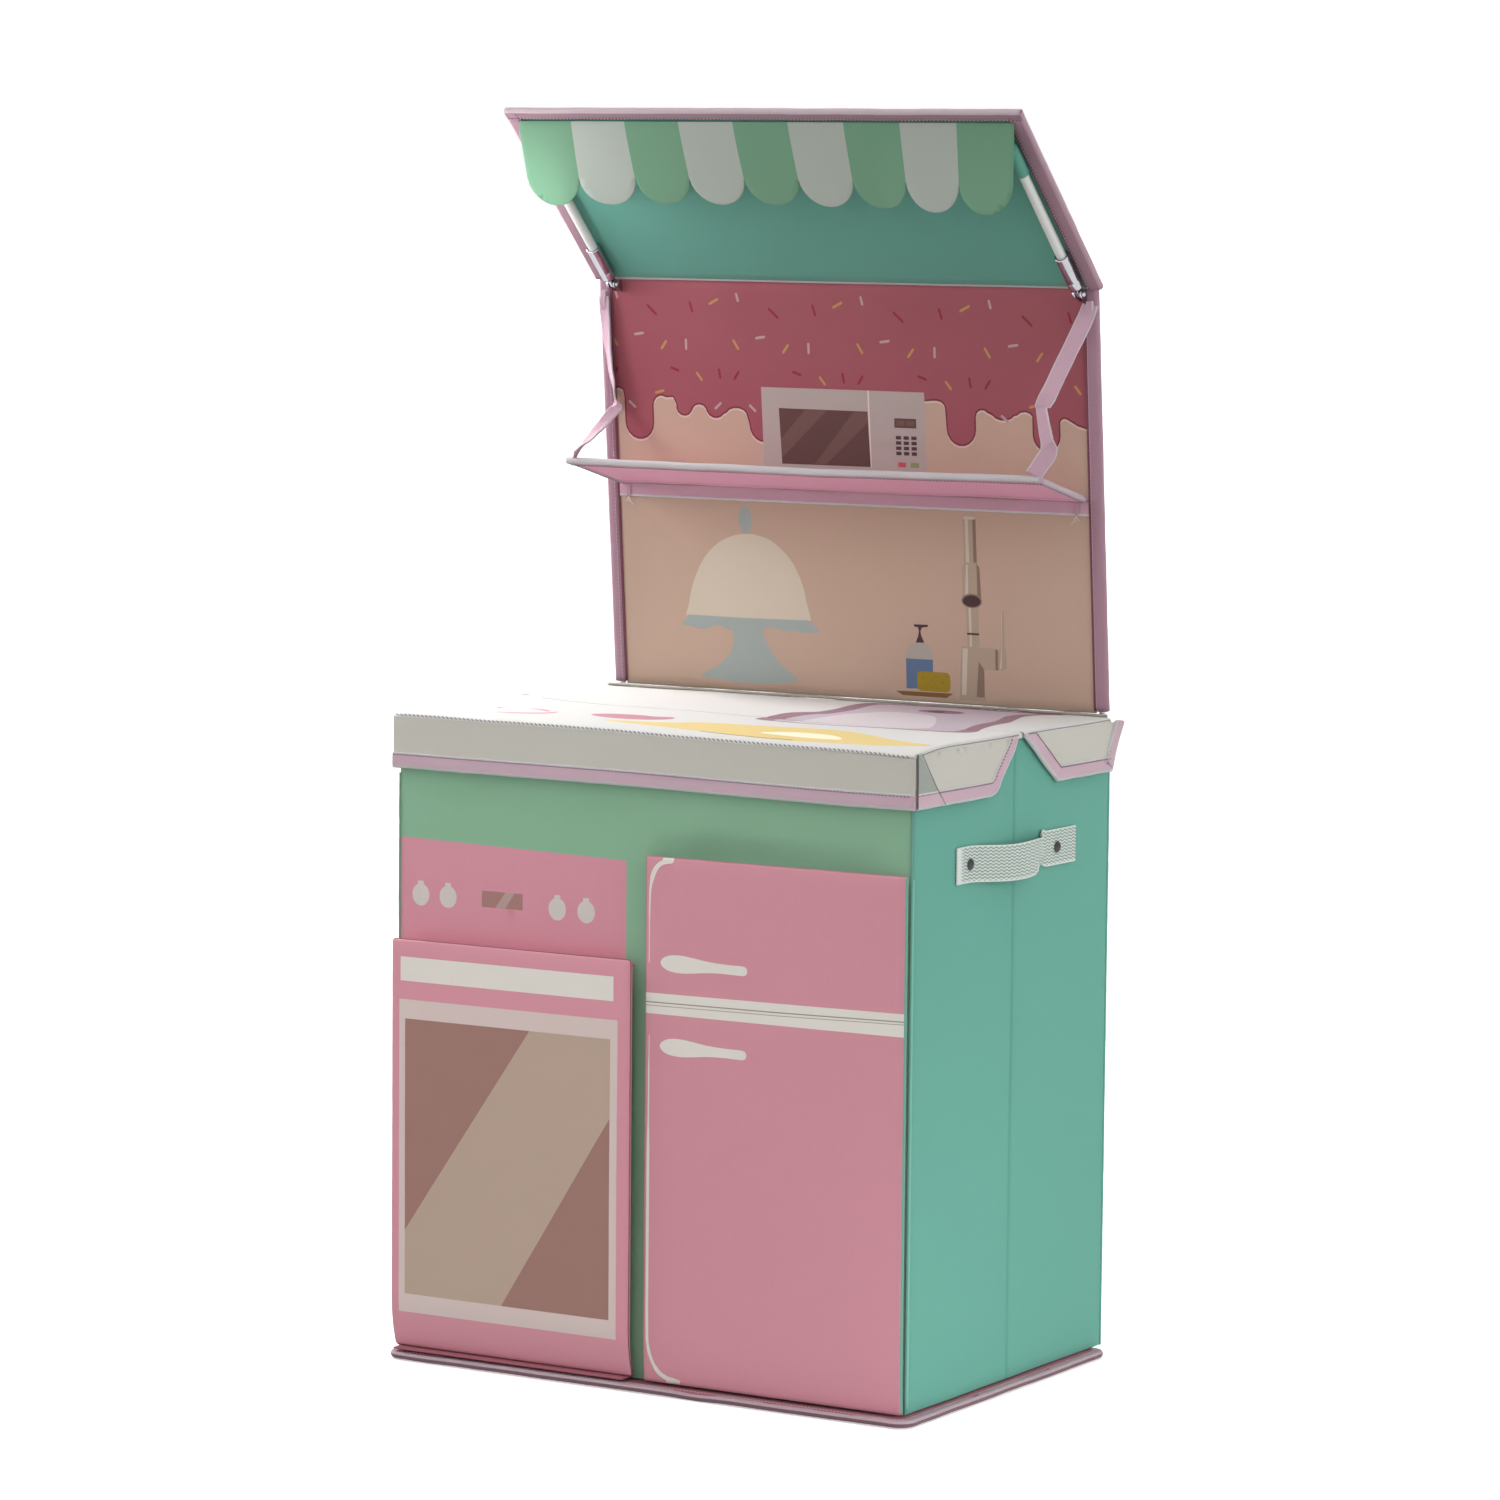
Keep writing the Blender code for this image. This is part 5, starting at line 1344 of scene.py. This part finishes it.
def turned_ups(path, turns):
    """The strap's face direction along its path: turns is (share of the length, direction) pairs."""
    total = len(path) - 1
    ups = []
    for i in range(len(path)):
        t = i / total
        for (t0, a), (t1, b) in zip(turns, turns[1:]):
            if t <= t1:
                k = min(1.0, max(0.0, (t - t0) / (t1 - t0)))
                k = k * k * (3 - 2 * k)
                ups.append((Vector(a) * (1 - k) + Vector(b) * k).normalized())
                break
    return ups


def make_straps():
    left_x = sum(v.x for v in low_high("shelf_strap_left")) / 2
    right_x = sum(v.x for v in low_high("shelf_strap_right")) / 2

    def local(x, y, z):
        return back_at(x, y, z) / MM

    shelf_edge = low_high("shelf_front_binding")
    corner_y, corner_z = shelf_edge[0].y + 2.5, shelf_edge[1].z - 0.6
    straps = {
        "left": (12.0, [local(left_x + 2.0, -6.4, 346), local(-241.0, -7.2, 300), local(-232.5, -9.5, 248.5),
        local(-236.5, -40, 230),
                       Vector((shelf_edge[0].x + 8, corner_y, corner_z))],
                 [(0, (-0.2, -1, 0.05)), (0.38, (-0.75, -0.8, 0.1)), (0.47, (-0.9, -0.5, 0.0)),
                 (0.55, (0.25, -0.75, 0.62)), (0.8, (-0.2, -0.6, 0.75)), (1.0, (-0.9, -0.3, 0.3))]),
        "right": (14.4, [local(right_x - 0.6, -6.4, 348), local(right_x - 1.6, -13, 338), local(228.5, -78.1, 269),
        local(235.5, -79.3, 233.5),
                         Vector((shelf_edge[1].x - 6, corner_y, corner_z))],
                  [(0, (0.1, -1, 0.1)), (0.1, (0.6, -0.75, 0.3)), (0.5, (0.75, -0.65, 0.1)),
                  (0.58, (0.2, -0.95, 0.2)), (0.62, (-0.45, -0.85, 0.25)),
                   (0.78, (-0.3, -0.9, 0.2)), (0.84, (0.5, -0.85, 0.1)), (1.0, (0.55, -0.8, 0.1))]),
    }
    for side, (width, corners, turns) in straps.items():
        path = path_points(corners, 2.5, 3.0)
        strap = ribbon(f"shelf_strap_{side}_ribbon", path, turned_ups(path, turns), width, 1.3, "strap_pink", 101,
                curl=0.8)
        finish_piece(strap, replaces=[f"shelf_strap_{side}"],
                blend=("backdrop", "shelf", tuple(corners[1]), tuple(corners[-1])))
        length = sum((b - a).length for a, b in zip(path, path[1:]))
        # The bunched end, sewn to the casing.
        x = corners[0].x
        knot = [local(x, -6.9, 351), local(x + 0.6, -8.0, 346), local(x - 0.4, -7.6, 341), local(x + 0.2, -6.8, 335)]
        path = smooth_path(knot, 1.5)
        tack = ribbon(f"shelf_strap_{side}_tack", path, [back_forward] * len(path), 6.0, 2.0, "strap_pink", 103,
                curl=1.2)
        finish_piece(tack, "backdrop")


# --- Canopy ---
canopy_at, canopy_y_axis, canopy_z_axis = leaning_plane(CANOPY_HINGE, CANOPY_TILT)
CANOPY_DEPTH = 198.5


def make_canopy():
    low, high = low_high("canopy_panel")

    def place(u, v, depth):
        edge = min(1.0, (u - low.x) / 30, (high.x - u) / 30, v / 14 + 0.2, (CANOPY_DEPTH - v) / 14 + 0.2)
        slack = (1.1 * wobble(u, v, 111, 120) + 0.35 * wobble(u, v, 112, 40)) * max(0.0, edge)
        return canopy_at(u, -v, 6.0 + depth + (slack - 0.6 * max(0.0, edge)) * 0.7)

    outline = rectangle(low.x, 2.0, high.x, CANOPY_DEPTH)
    rim = [(0.6, 0.1), (0.15, 0.5), (0.0, 1.2), (0.0, 2.8), (0.2, 3.6), (0.6, 4.0)]
    # The canopy's teal is the box's teal cloth made darker, as painted shade under the canopy.
    cover = printed_sheet("canopy_cover", outline, [], "canopy_teal_shaded", place, rim, 9.0, material=SOFT_CLOTH)
    finish_piece(cover, "canopy", ["canopy_panel"])

    for side, name in SIDES:
        node = "canopy_side_binding_" + name
        n_low, n_high = low_high(node)
        outer = n_high.x if side > 0 else n_low.x
        a, b = (outer, 1.0), (outer, CANOPY_DEPTH + 6.0)
        line = [a, b] if side > 0 else [b, a]

        def edge_place(u, v, depth):
            return canopy_at(u, -v, 5.0 + depth)
        edge_tape(node + "_tape", line, edge_place, -canopy_z_axis, 13.0, 4.2, "casing_pink", 113 + side, "canopy",
                replaces=[node])
        seam = [canopy_at(outer - side * 13.4, -v, 5.2) for v in np.linspace(3, CANOPY_DEPTH - 1, 40)]
        flat = in_metres([(0.5, -0.8), (0.7, 0.0), (0.5, 0.8), (-0.3, 0.9), (-0.3, -0.9)])
        piece = sweep(node + "_seam", seam, -canopy_z_axis, flat, "seam_red", TAPE)
        finish_piece(piece, "canopy")

    # A pale welt along the rear edge, where the canopy is sewn to the backdrop.
    welt = [canopy_at(u, -1.0 + 0.2 * wobble(u, 0, 86, 40), 6.3 + 0.3 * wobble(u, 0, 87, 60))
            for u in np.linspace(low.x, high.x, 80)]
    piece = sweep("canopy_rear_welt", welt, -canopy_z_axis, round_profile(0.95, 0.95, 8), "lid_white", TAPE)
    finish_piece(piece, "canopy")

    n_low, n_high = low_high("canopy_front_binding")

    def front_place(u, v, depth):
        return canopy_at(u, -v, 5.0 + depth + 0.4 * wobble(u, v, 115, 50))
    edge_tape("canopy_front_tape", [(n_high.x, CANOPY_DEPTH + 7.4), (n_low.x, CANOPY_DEPTH + 7.4)], front_place,
            -canopy_z_axis, 9.0, 4.2, "trim_pink", 116, "canopy",
              replaces=["canopy_front_binding"])


def make_valance():
    low, high = low_high("valance")
    count = 9
    width = (high.x - low.x) / count
    height = high.z - low.z
    r = width / 2
    bottom = []
    for k in range(count):
        cx = low.x + width * (k + 0.5)
        bottom += arc(cx, 0.0, r, r * 0.92, 180, 360, 12)[:-1 if k < count - 1 else None]
    drop = height - r * 0.92
    outline = [(u, v - drop) for u, v in bottom] + [(high.x, 0.0), (low.x, 0.0)]
    starts = [low.x + width * k for k in range(1, count, 2)]
    prints = [(rectangle(x0, -height - 1, x0 + width, 1), "stripe_white") for x0 in starts]

    def place(u, v, depth):
        t = min(1.0, max(0.0, -v / height))
        share = min(1.0, max(0.0, (u - low.x) / (high.x - low.x)))
        swing = (23 + 6 * math.sin(math.pi * min(1.0, share * 1.25)) - 25 * max(0.0, (share - 0.72) / 0.28) ** 1.2
                 - 5 * bell(share - 0.09, 0.05))
        lean = swing * t ** 1.1
        flutter = (2.0 * wobble(u, 0, 121, 70) + 0.8 * wobble(u, v, 122, 34)) * t
        lift = height * t * (1 - math.cos(min(1.0, swing / height)))
        return Vector((u + 0.4 * t * wobble(u, v, 123, 40), low.y + depth + lean + flutter, high.z + v + lift)) * MM

    rim = [(0.3, 0.0), (0.05, 0.15), (0.0, 0.5), (0.05, 0.9), (0.3, 1.1)]
    piece = printed_sheet("valance_cloth", outline, prints, "stripe_green", place, rim, 5.0, material=SOFT_CLOTH)
    finish_piece(piece, "canopy", ["valance"])


HANDLE_SHIFT = 7.0


def make_hardware():
    for side, name in SIDES:
        x = side * POLE_X
        axis = -canopy_y_axis
        start = canopy_at(x, -6.5, 0)
        rings = [(0, 2.4), (0.2, 3.8), (0.8, 5.0), (1.8, 5.8), (3.2, 6.1), (10.0, 6.15), (10.4, 5.95), (10.9, 6.15),
                (30.0, 6.15), (36.5, 6.3), (37.8, 6.45), (38.8, 6.3), (39.2, 5.6), (38.4, 4.5)]
        piece = lathe(f"ferrule_{name}_sleeve", start, axis, rings, "webbing", CHROME)
        finish_piece(piece, "canopy", [f"ferrule_{name}"])
        # The pocket at the tube's far end: a cap of teal cloth sewn to the canopy.
        pocket = lathe(f"strut_pocket_{name}_cloth", canopy_at(x, -140.5, 0), axis,
                       [(0, 4.6), (0.6, 5.4), (2.0, 5.7), (4.0, 5.4), (12.0, 5.6), (24.0, 5.5), (30.5, 5.3),
                       (33.0, 4.4), (34.0, 2.4)], "teal", CLOTH, 24)
        finish_piece(pocket, "canopy", [f"strut_pocket_{name}"])
        for node, material in (("strut", TUBE), ("pole", STEEL)):
            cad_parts[f"{node}_{name}"].data.materials.clear()
            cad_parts[f"{node}_{name}"].data.materials.append(material)
        # The pivot: a forked bracket from the pole, a tongue on the ferrule between its cheeks, and a domed pin.
        pin = Vector((x, *CANOPY_HINGE[1:]))
        cheek = arc(0, 0, 4.3, 4.3, 100, 290, 12) + [(6.0, -6.2), (9.6, -6.8), (9.6, 3.6), (4.0, 4.4)]
        for tag, offset in (("inner", -3.7), ("outer", 2.3)):
            def cheek_place(u, v, depth, offset=offset):
                return (pin + Vector((offset + depth, u, v))) * MM
            plate = printed_sheet(f"knuckle_{name}_cheek_{tag}", cheek, [], "webbing", cheek_place,
                                  [(0.35, 0.0), (0.0, 0.35), (0.0, 1.05), (0.35, 1.4)], 1.6, material=CHROME)
            finish_piece(plate, "backdrop", [f"knuckle_{name}"] if tag == "inner" else ())
        pin_rings = [(-6.2, 0.4), (-6.0, 1.6), (-5.3, 2.6), (-4.4, 2.9), (-3.9, 2.8), (-3.9, 1.3), (3.9, 1.3),
                (3.9, 2.8), (4.4, 2.9), (5.3, 2.6), (6.0, 1.6), (6.2, 0.4)]
        piece = lathe(f"knuckle_pin_{name}_dome", pin * MM, X, pin_rings, "webbing", CHROME, 24)
        finish_piece(piece, "backdrop", [f"knuckle_pin_{name}"])
        tongue = arc(0, 0, 3.2, 3.2, 0, 180, 12) + [(-3.0, -5.5), (-2.4, -9.0), (2.4, -9.0), (3.0, -5.5)]

        def tongue_place(u, v, depth):
            return canopy_at(x - 1.7 + depth, v, u)
        plate = printed_sheet(f"ferrule_{name}_tongue", tongue, [], "webbing", tongue_place,
                [(0.4, 0.0), (0.0, 0.4), (0.0, 3.0), (0.4, 3.4)], 1.6, material=CHROME)
        finish_piece(plate, "canopy")
        for end in ("rear", "front"):
            low, high = low_high(f"rivet_{name}_{end}")
            middle = (low + high) / 2
            inner = low.x if side > 0 else high.x
            start = Vector((inner, middle.y - HANDLE_SHIFT, middle.z)) * MM
            rings = [(-0.2, 3.0), (0.0, 4.6), (0.4, 4.9), (0.7, 4.6), (0.8, 4.0), (1.2, 3.8), (1.8, 3.3), (2.3, 2.4),
                    (2.7, 1.3), (2.85, 0.3)]
            piece = lathe(f"rivet_{name}_{end}_cap", start, Vector((side, 0, 0)), rings, "webbing", NICKEL, 24)
            finish_piece(piece, f"side_{name}_{end}", [f"rivet_{name}_{end}"])


def make_handles():
    for side, name in SIDES:
        low, high = low_high(f"handle_{name}")
        z = (low.z + high.z) / 2
        near = side_x + 0.35
        rivet_front = sum(v.y for v in low_high(f"rivet_{name}_front")) / 2 - HANDLE_SHIFT
        rivet_rear = sum(v.y for v in low_high(f"rivet_{name}_rear")) / 2 - HANDLE_SHIFT
        y0, y1 = low.y - HANDLE_SHIFT, high.y - HANDLE_SHIFT
        lay = 0.95
        knots = [(near + lay, y0), (near + lay, rivet_front - 4), (near + lay + 0.2, rivet_front + 8),
                (near + 3.2, rivet_front + 24), (near + 6.2, rivet_front + 48),
                 (near + 8.6, rivet_front + 76), (near + 9.2, rivet_front + 96), (near + 7.4, rivet_front + 110),
                 (near + 3.0, rivet_rear - 29),
                 (near + lay, rivet_rear - 22), (near + lay, y1)]
        line = resample(curve(knots, False, 8), 0.9, closed=False)
        wide = (high.z - low.z) / 2
        across = 56
        points, uvs, faces, groove_shades = [], [], [], []
        pinch_y = rivet_rear - 31
        for side_of in (1, -1):
            run = 0.0
            for i, (px, py) in enumerate(line):
                ax, ay = line[max(i - 1, 0)]
                bx, by = line[min(i + 1, len(line) - 1)]
                length = math.hypot(bx - ax, by - ay) or 1.0
                nx, ny = (by - ay) / length, -(bx - ax) / length
                if i:
                    run += math.hypot(px - line[i - 1][0], py - line[i - 1][1])
                fold = bell(py - pinch_y, 13 if py < pinch_y else 7)
                ear = bell(py - rivet_rear + 25, 3.5)
                ends = 1 - math.exp(-((py - y0) / 9) ** 4) * (1 if side_of > 0 else 0.5)
                sagging = min(1, max(0, (py - rivet_front) / (rivet_rear - 26 - rivet_front)))
                for j in range(across + 1):
                    q = -1 + 2 * j / across
                    h = wide * q
                    phase = math.sin(2 * math.pi * (h / 2.7 + 0.26 * math.sin(2 * math.pi * run / 7.5)))
                    groove_shades.append(ends * max(0.0, -phase - 0.15) if abs(q) < 0.92 else 0.0)
                    selvage = 0.18 * bell(1 - abs(q), 0.06)
                    out = side_of * (0.62 + 0.26 * ends * phase + selvage)
                    twist = fold * (1.9 * q + 1.6 * math.cos(q * 4.2)) - 0.9 * fold * (1 - q * q)
                    drop = fold * (5.5 * max(0.0, -q) - 2.2 * max(0.0, q)) + ear * 2.6 * max(0.0, q) ** 3
                    drop -= 4.2 * math.sin(math.pi * sagging ** 1.3)
                    x, y = px + nx * (out + twist), py + ny * (out + twist)
                    points.append(Vector((side * x, y, z + h + drop)) * MM)
                    uvs.append((run * MM, (h + wide) * MM))
        n, m = len(line), across + 1
        for layer in (0, 1):
            base = layer * n * m
            for i in range(n - 1):
                for j in range(m - 1):
                    quad = (base + i * m + j, base + (i + 1) * m + j, base + (i + 1) * m + j + 1,
                            base + i * m + j + 1)
                    faces.append(quad if (layer == 0) == (side > 0) else quad[::-1])
        rim = [i * m for i in range(n)] + [(n - 1) * m + j for j in range(1, m)]
        rim += [i * m + m - 1 for i in range(n - 2, -1, -1)] + [j for j in range(m - 2, 0, -1)]
        for a, b in zip(rim, rim[1:] + rim[:1]):
            quad = (a, a + n * m, b + n * m, b)
            faces.append(quad if side > 0 else quad[::-1])
        # The weave's grooves are tinted darker green-grey: partly the teal wall showing through, partly painted shade
        # in the grooves.
        white, gap = np.array(linear("webbing")), np.array(linear("webbing_groove_shade"))
        shares = [min(1.0, 2.0 * sum(groove_shades[i] for i in face) / 4) for face in faces]
        tints = [white + (gap - white) * share for share in shares]
        strap = make_object(f"handle_{name}_webbing", points, faces, uvs, tints, WEBBING)
        ends = ((side * near, y, z) for y in (rivet_rear - 8, rivet_front + 8))
        finish_piece(strap, replaces=[f"handle_{name}"],
                     blend=(f"side_{name}_rear", f"side_{name}_front", *ends))


# --- Camera, light and floor ---
CAMERA_PLACE = (2.4752, -4.0863, 1.0014)
CAMERA_TURN, CAMERA_DIP, CAMERA_ROLL = 0.54525, 0.10138, 0.00941
CAMERA_LENS = 137.2
WHITE = (1.0, 1.0, 1.0, 1.0)
AMBIENT = 0.90
FLOOR_GLOW = 0.42
# Brightness of the surroundings from the left (0) to the right (1), and from below and above.
PANELS = [(0.0, 1.0), (0.30, 1.0), (0.345, 0.15), (0.40, 0.15), (0.445, 1.0), (0.70, 1.25), (0.74, 1.5),
        (0.785, 0.12), (0.84, 0.12), (0.88, 1.95), (1.0, 1.95)]
FROM_BELOW = (0.5, 1.2)


def make_stage():
    scene = bpy.context.scene
    camera_data = bpy.data.cameras.new("camera")
    camera_data.lens, camera_data.sensor_width, camera_data.clip_end = CAMERA_LENS, 36.0, 100.0
    camera = bpy.data.objects.new("camera", camera_data)
    scene.collection.objects.link(camera)
    camera.matrix_world = (Matrix.Translation(CAMERA_PLACE) @ Matrix.Rotation(CAMERA_TURN, 4, "Z")
                           @ Matrix.Rotation(math.pi / 2 - CAMERA_DIP, 4, "X") @ Matrix.Rotation(CAMERA_ROLL, 4, "Z"))
    scene.camera = camera

    world = bpy.data.worlds.new("studio")
    scene.world = world
    world.use_nodes = True
    tree = world.node_tree
    # Soft panels round the object with darker gaps between them, and less light from below.
    direction = new_node(tree, "SeparateXYZ", {0: tree.nodes.new("ShaderNodeTexCoord").outputs["Generated"]}).outputs
    panels = tree.nodes.new("ShaderNodeValToRGB")
    stops = panels.color_ramp.elements
    for place, level in PANELS[1:-1]:
        stops.new(place)
    for stop, (place, level) in zip(stops, PANELS):
        stop.position = place
        stop.color = (level, level * 0.997, level * 0.99, 1.0)
    feed(tree, panels, {"Fac": remap(tree, direction["X"], 0.0, 1.0, -1.0, 1.0)})
    colour = scaled(tree, panels.outputs["Color"], remap(tree, direction["Z"], *FROM_BELOW, -1.0, 1.0))
    ambient = feed(tree, tree.nodes["Background"], {"Strength": AMBIENT, "Color": colour})
    white = new_node(tree, "Background", {"Strength": 1.0, "Color": WHITE})
    camera_ray = tree.nodes.new("ShaderNodeLightPath").outputs["Is Camera Ray"]
    choose = new_node(tree, "MixShader", {"Fac": camera_ray, 1: ambient.outputs[0], 2: white.outputs[0]})
    feed(tree, tree.nodes["World Output"], {"Surface": choose.outputs[0]})

    floor, tree, shader = new_material("studio_floor")
    place = tree.nodes.new("ShaderNodeTexCoord").outputs["Object"]
    tone = remap(tree, noise_node(tree, place, 3.0), 0.93, 0.95)
    grey = new_node(tree, "CombineColor", {0: tone, 1: tone, 2: tone})
    feed(tree, shader, {"Roughness": 0.9, "Emission Color": WHITE, "Emission Strength": FLOOR_GLOW,
                        "Base Color": grey.outputs[0]})
    mesh = bpy.data.meshes.new("floor")
    mesh.from_pydata([(x, y, -0.0005) for x, y in rectangle(-90, -90, 90, 90)], [], [(0, 1, 2, 3)])
    mesh.materials.append(floor)
    ground = bpy.data.objects.new("floor", mesh)
    scene.collection.objects.link(ground)
    ground.visible_diffuse = False

    def area(name, position, target, size, power, colour=(1, 1, 1)):
        lamp = bpy.data.lights.new(name, "AREA")
        lamp.shape = "RECTANGLE"
        lamp.size, lamp.size_y = size
        lamp.energy, lamp.color, lamp.spread = power, colour, math.radians(120)
        holder = bpy.data.objects.new(name, lamp)
        scene.collection.objects.link(holder)
        holder.location = position
        holder.rotation_euler = (Vector(target) - Vector(position)).to_track_quat("-Z", "Y").to_euler()
        holder.visible_camera = False

    sun = bpy.data.lights.new("top_light", "SUN")
    sun.energy, sun.angle = 0.5, 0.2
    holder = bpy.data.objects.new("top_light", sun)
    scene.collection.objects.link(holder)
    holder.rotation_euler = Vector((0.7, 0.15, -0.99)).to_track_quat("-Z", "Y").to_euler()
    area("key_light", (-0.95, -0.42, 1.12), (-0.15, 0.1, 0.92), (0.35, 0.35), 1.9, (1.0, 0.95, 1.0))
    area("worktop_light", (-0.85, 0.22, 0.98), (-0.2, -0.05, 0.545), (0.3, 0.3), 4.2)
    area("valance_light", (-0.300, -0.070, 0.950), (-0.235, -0.002, 0.975), (0.05, 0.05), 0.105)
    area("low_light", (0.62, -0.25, 0.05), (0.25, 0.02, 0.08), (0.4, 0.1), 0.2)
    scene.view_settings.view_transform = "Standard"
    scene.view_settings.look = "None"
    scene.render.film_transparent = False


make_stage()
make_base()
make_front_wall()
for wall_side in SIDES:
    make_side(*wall_side)
make_rear_wall()
make_oven_door()
make_fridge_door()
make_tapes()
make_lid_top()
make_skirts()
make_backdrop()
make_shelf()
make_straps()
make_canopy()
make_valance()
make_hardware()
make_handles()
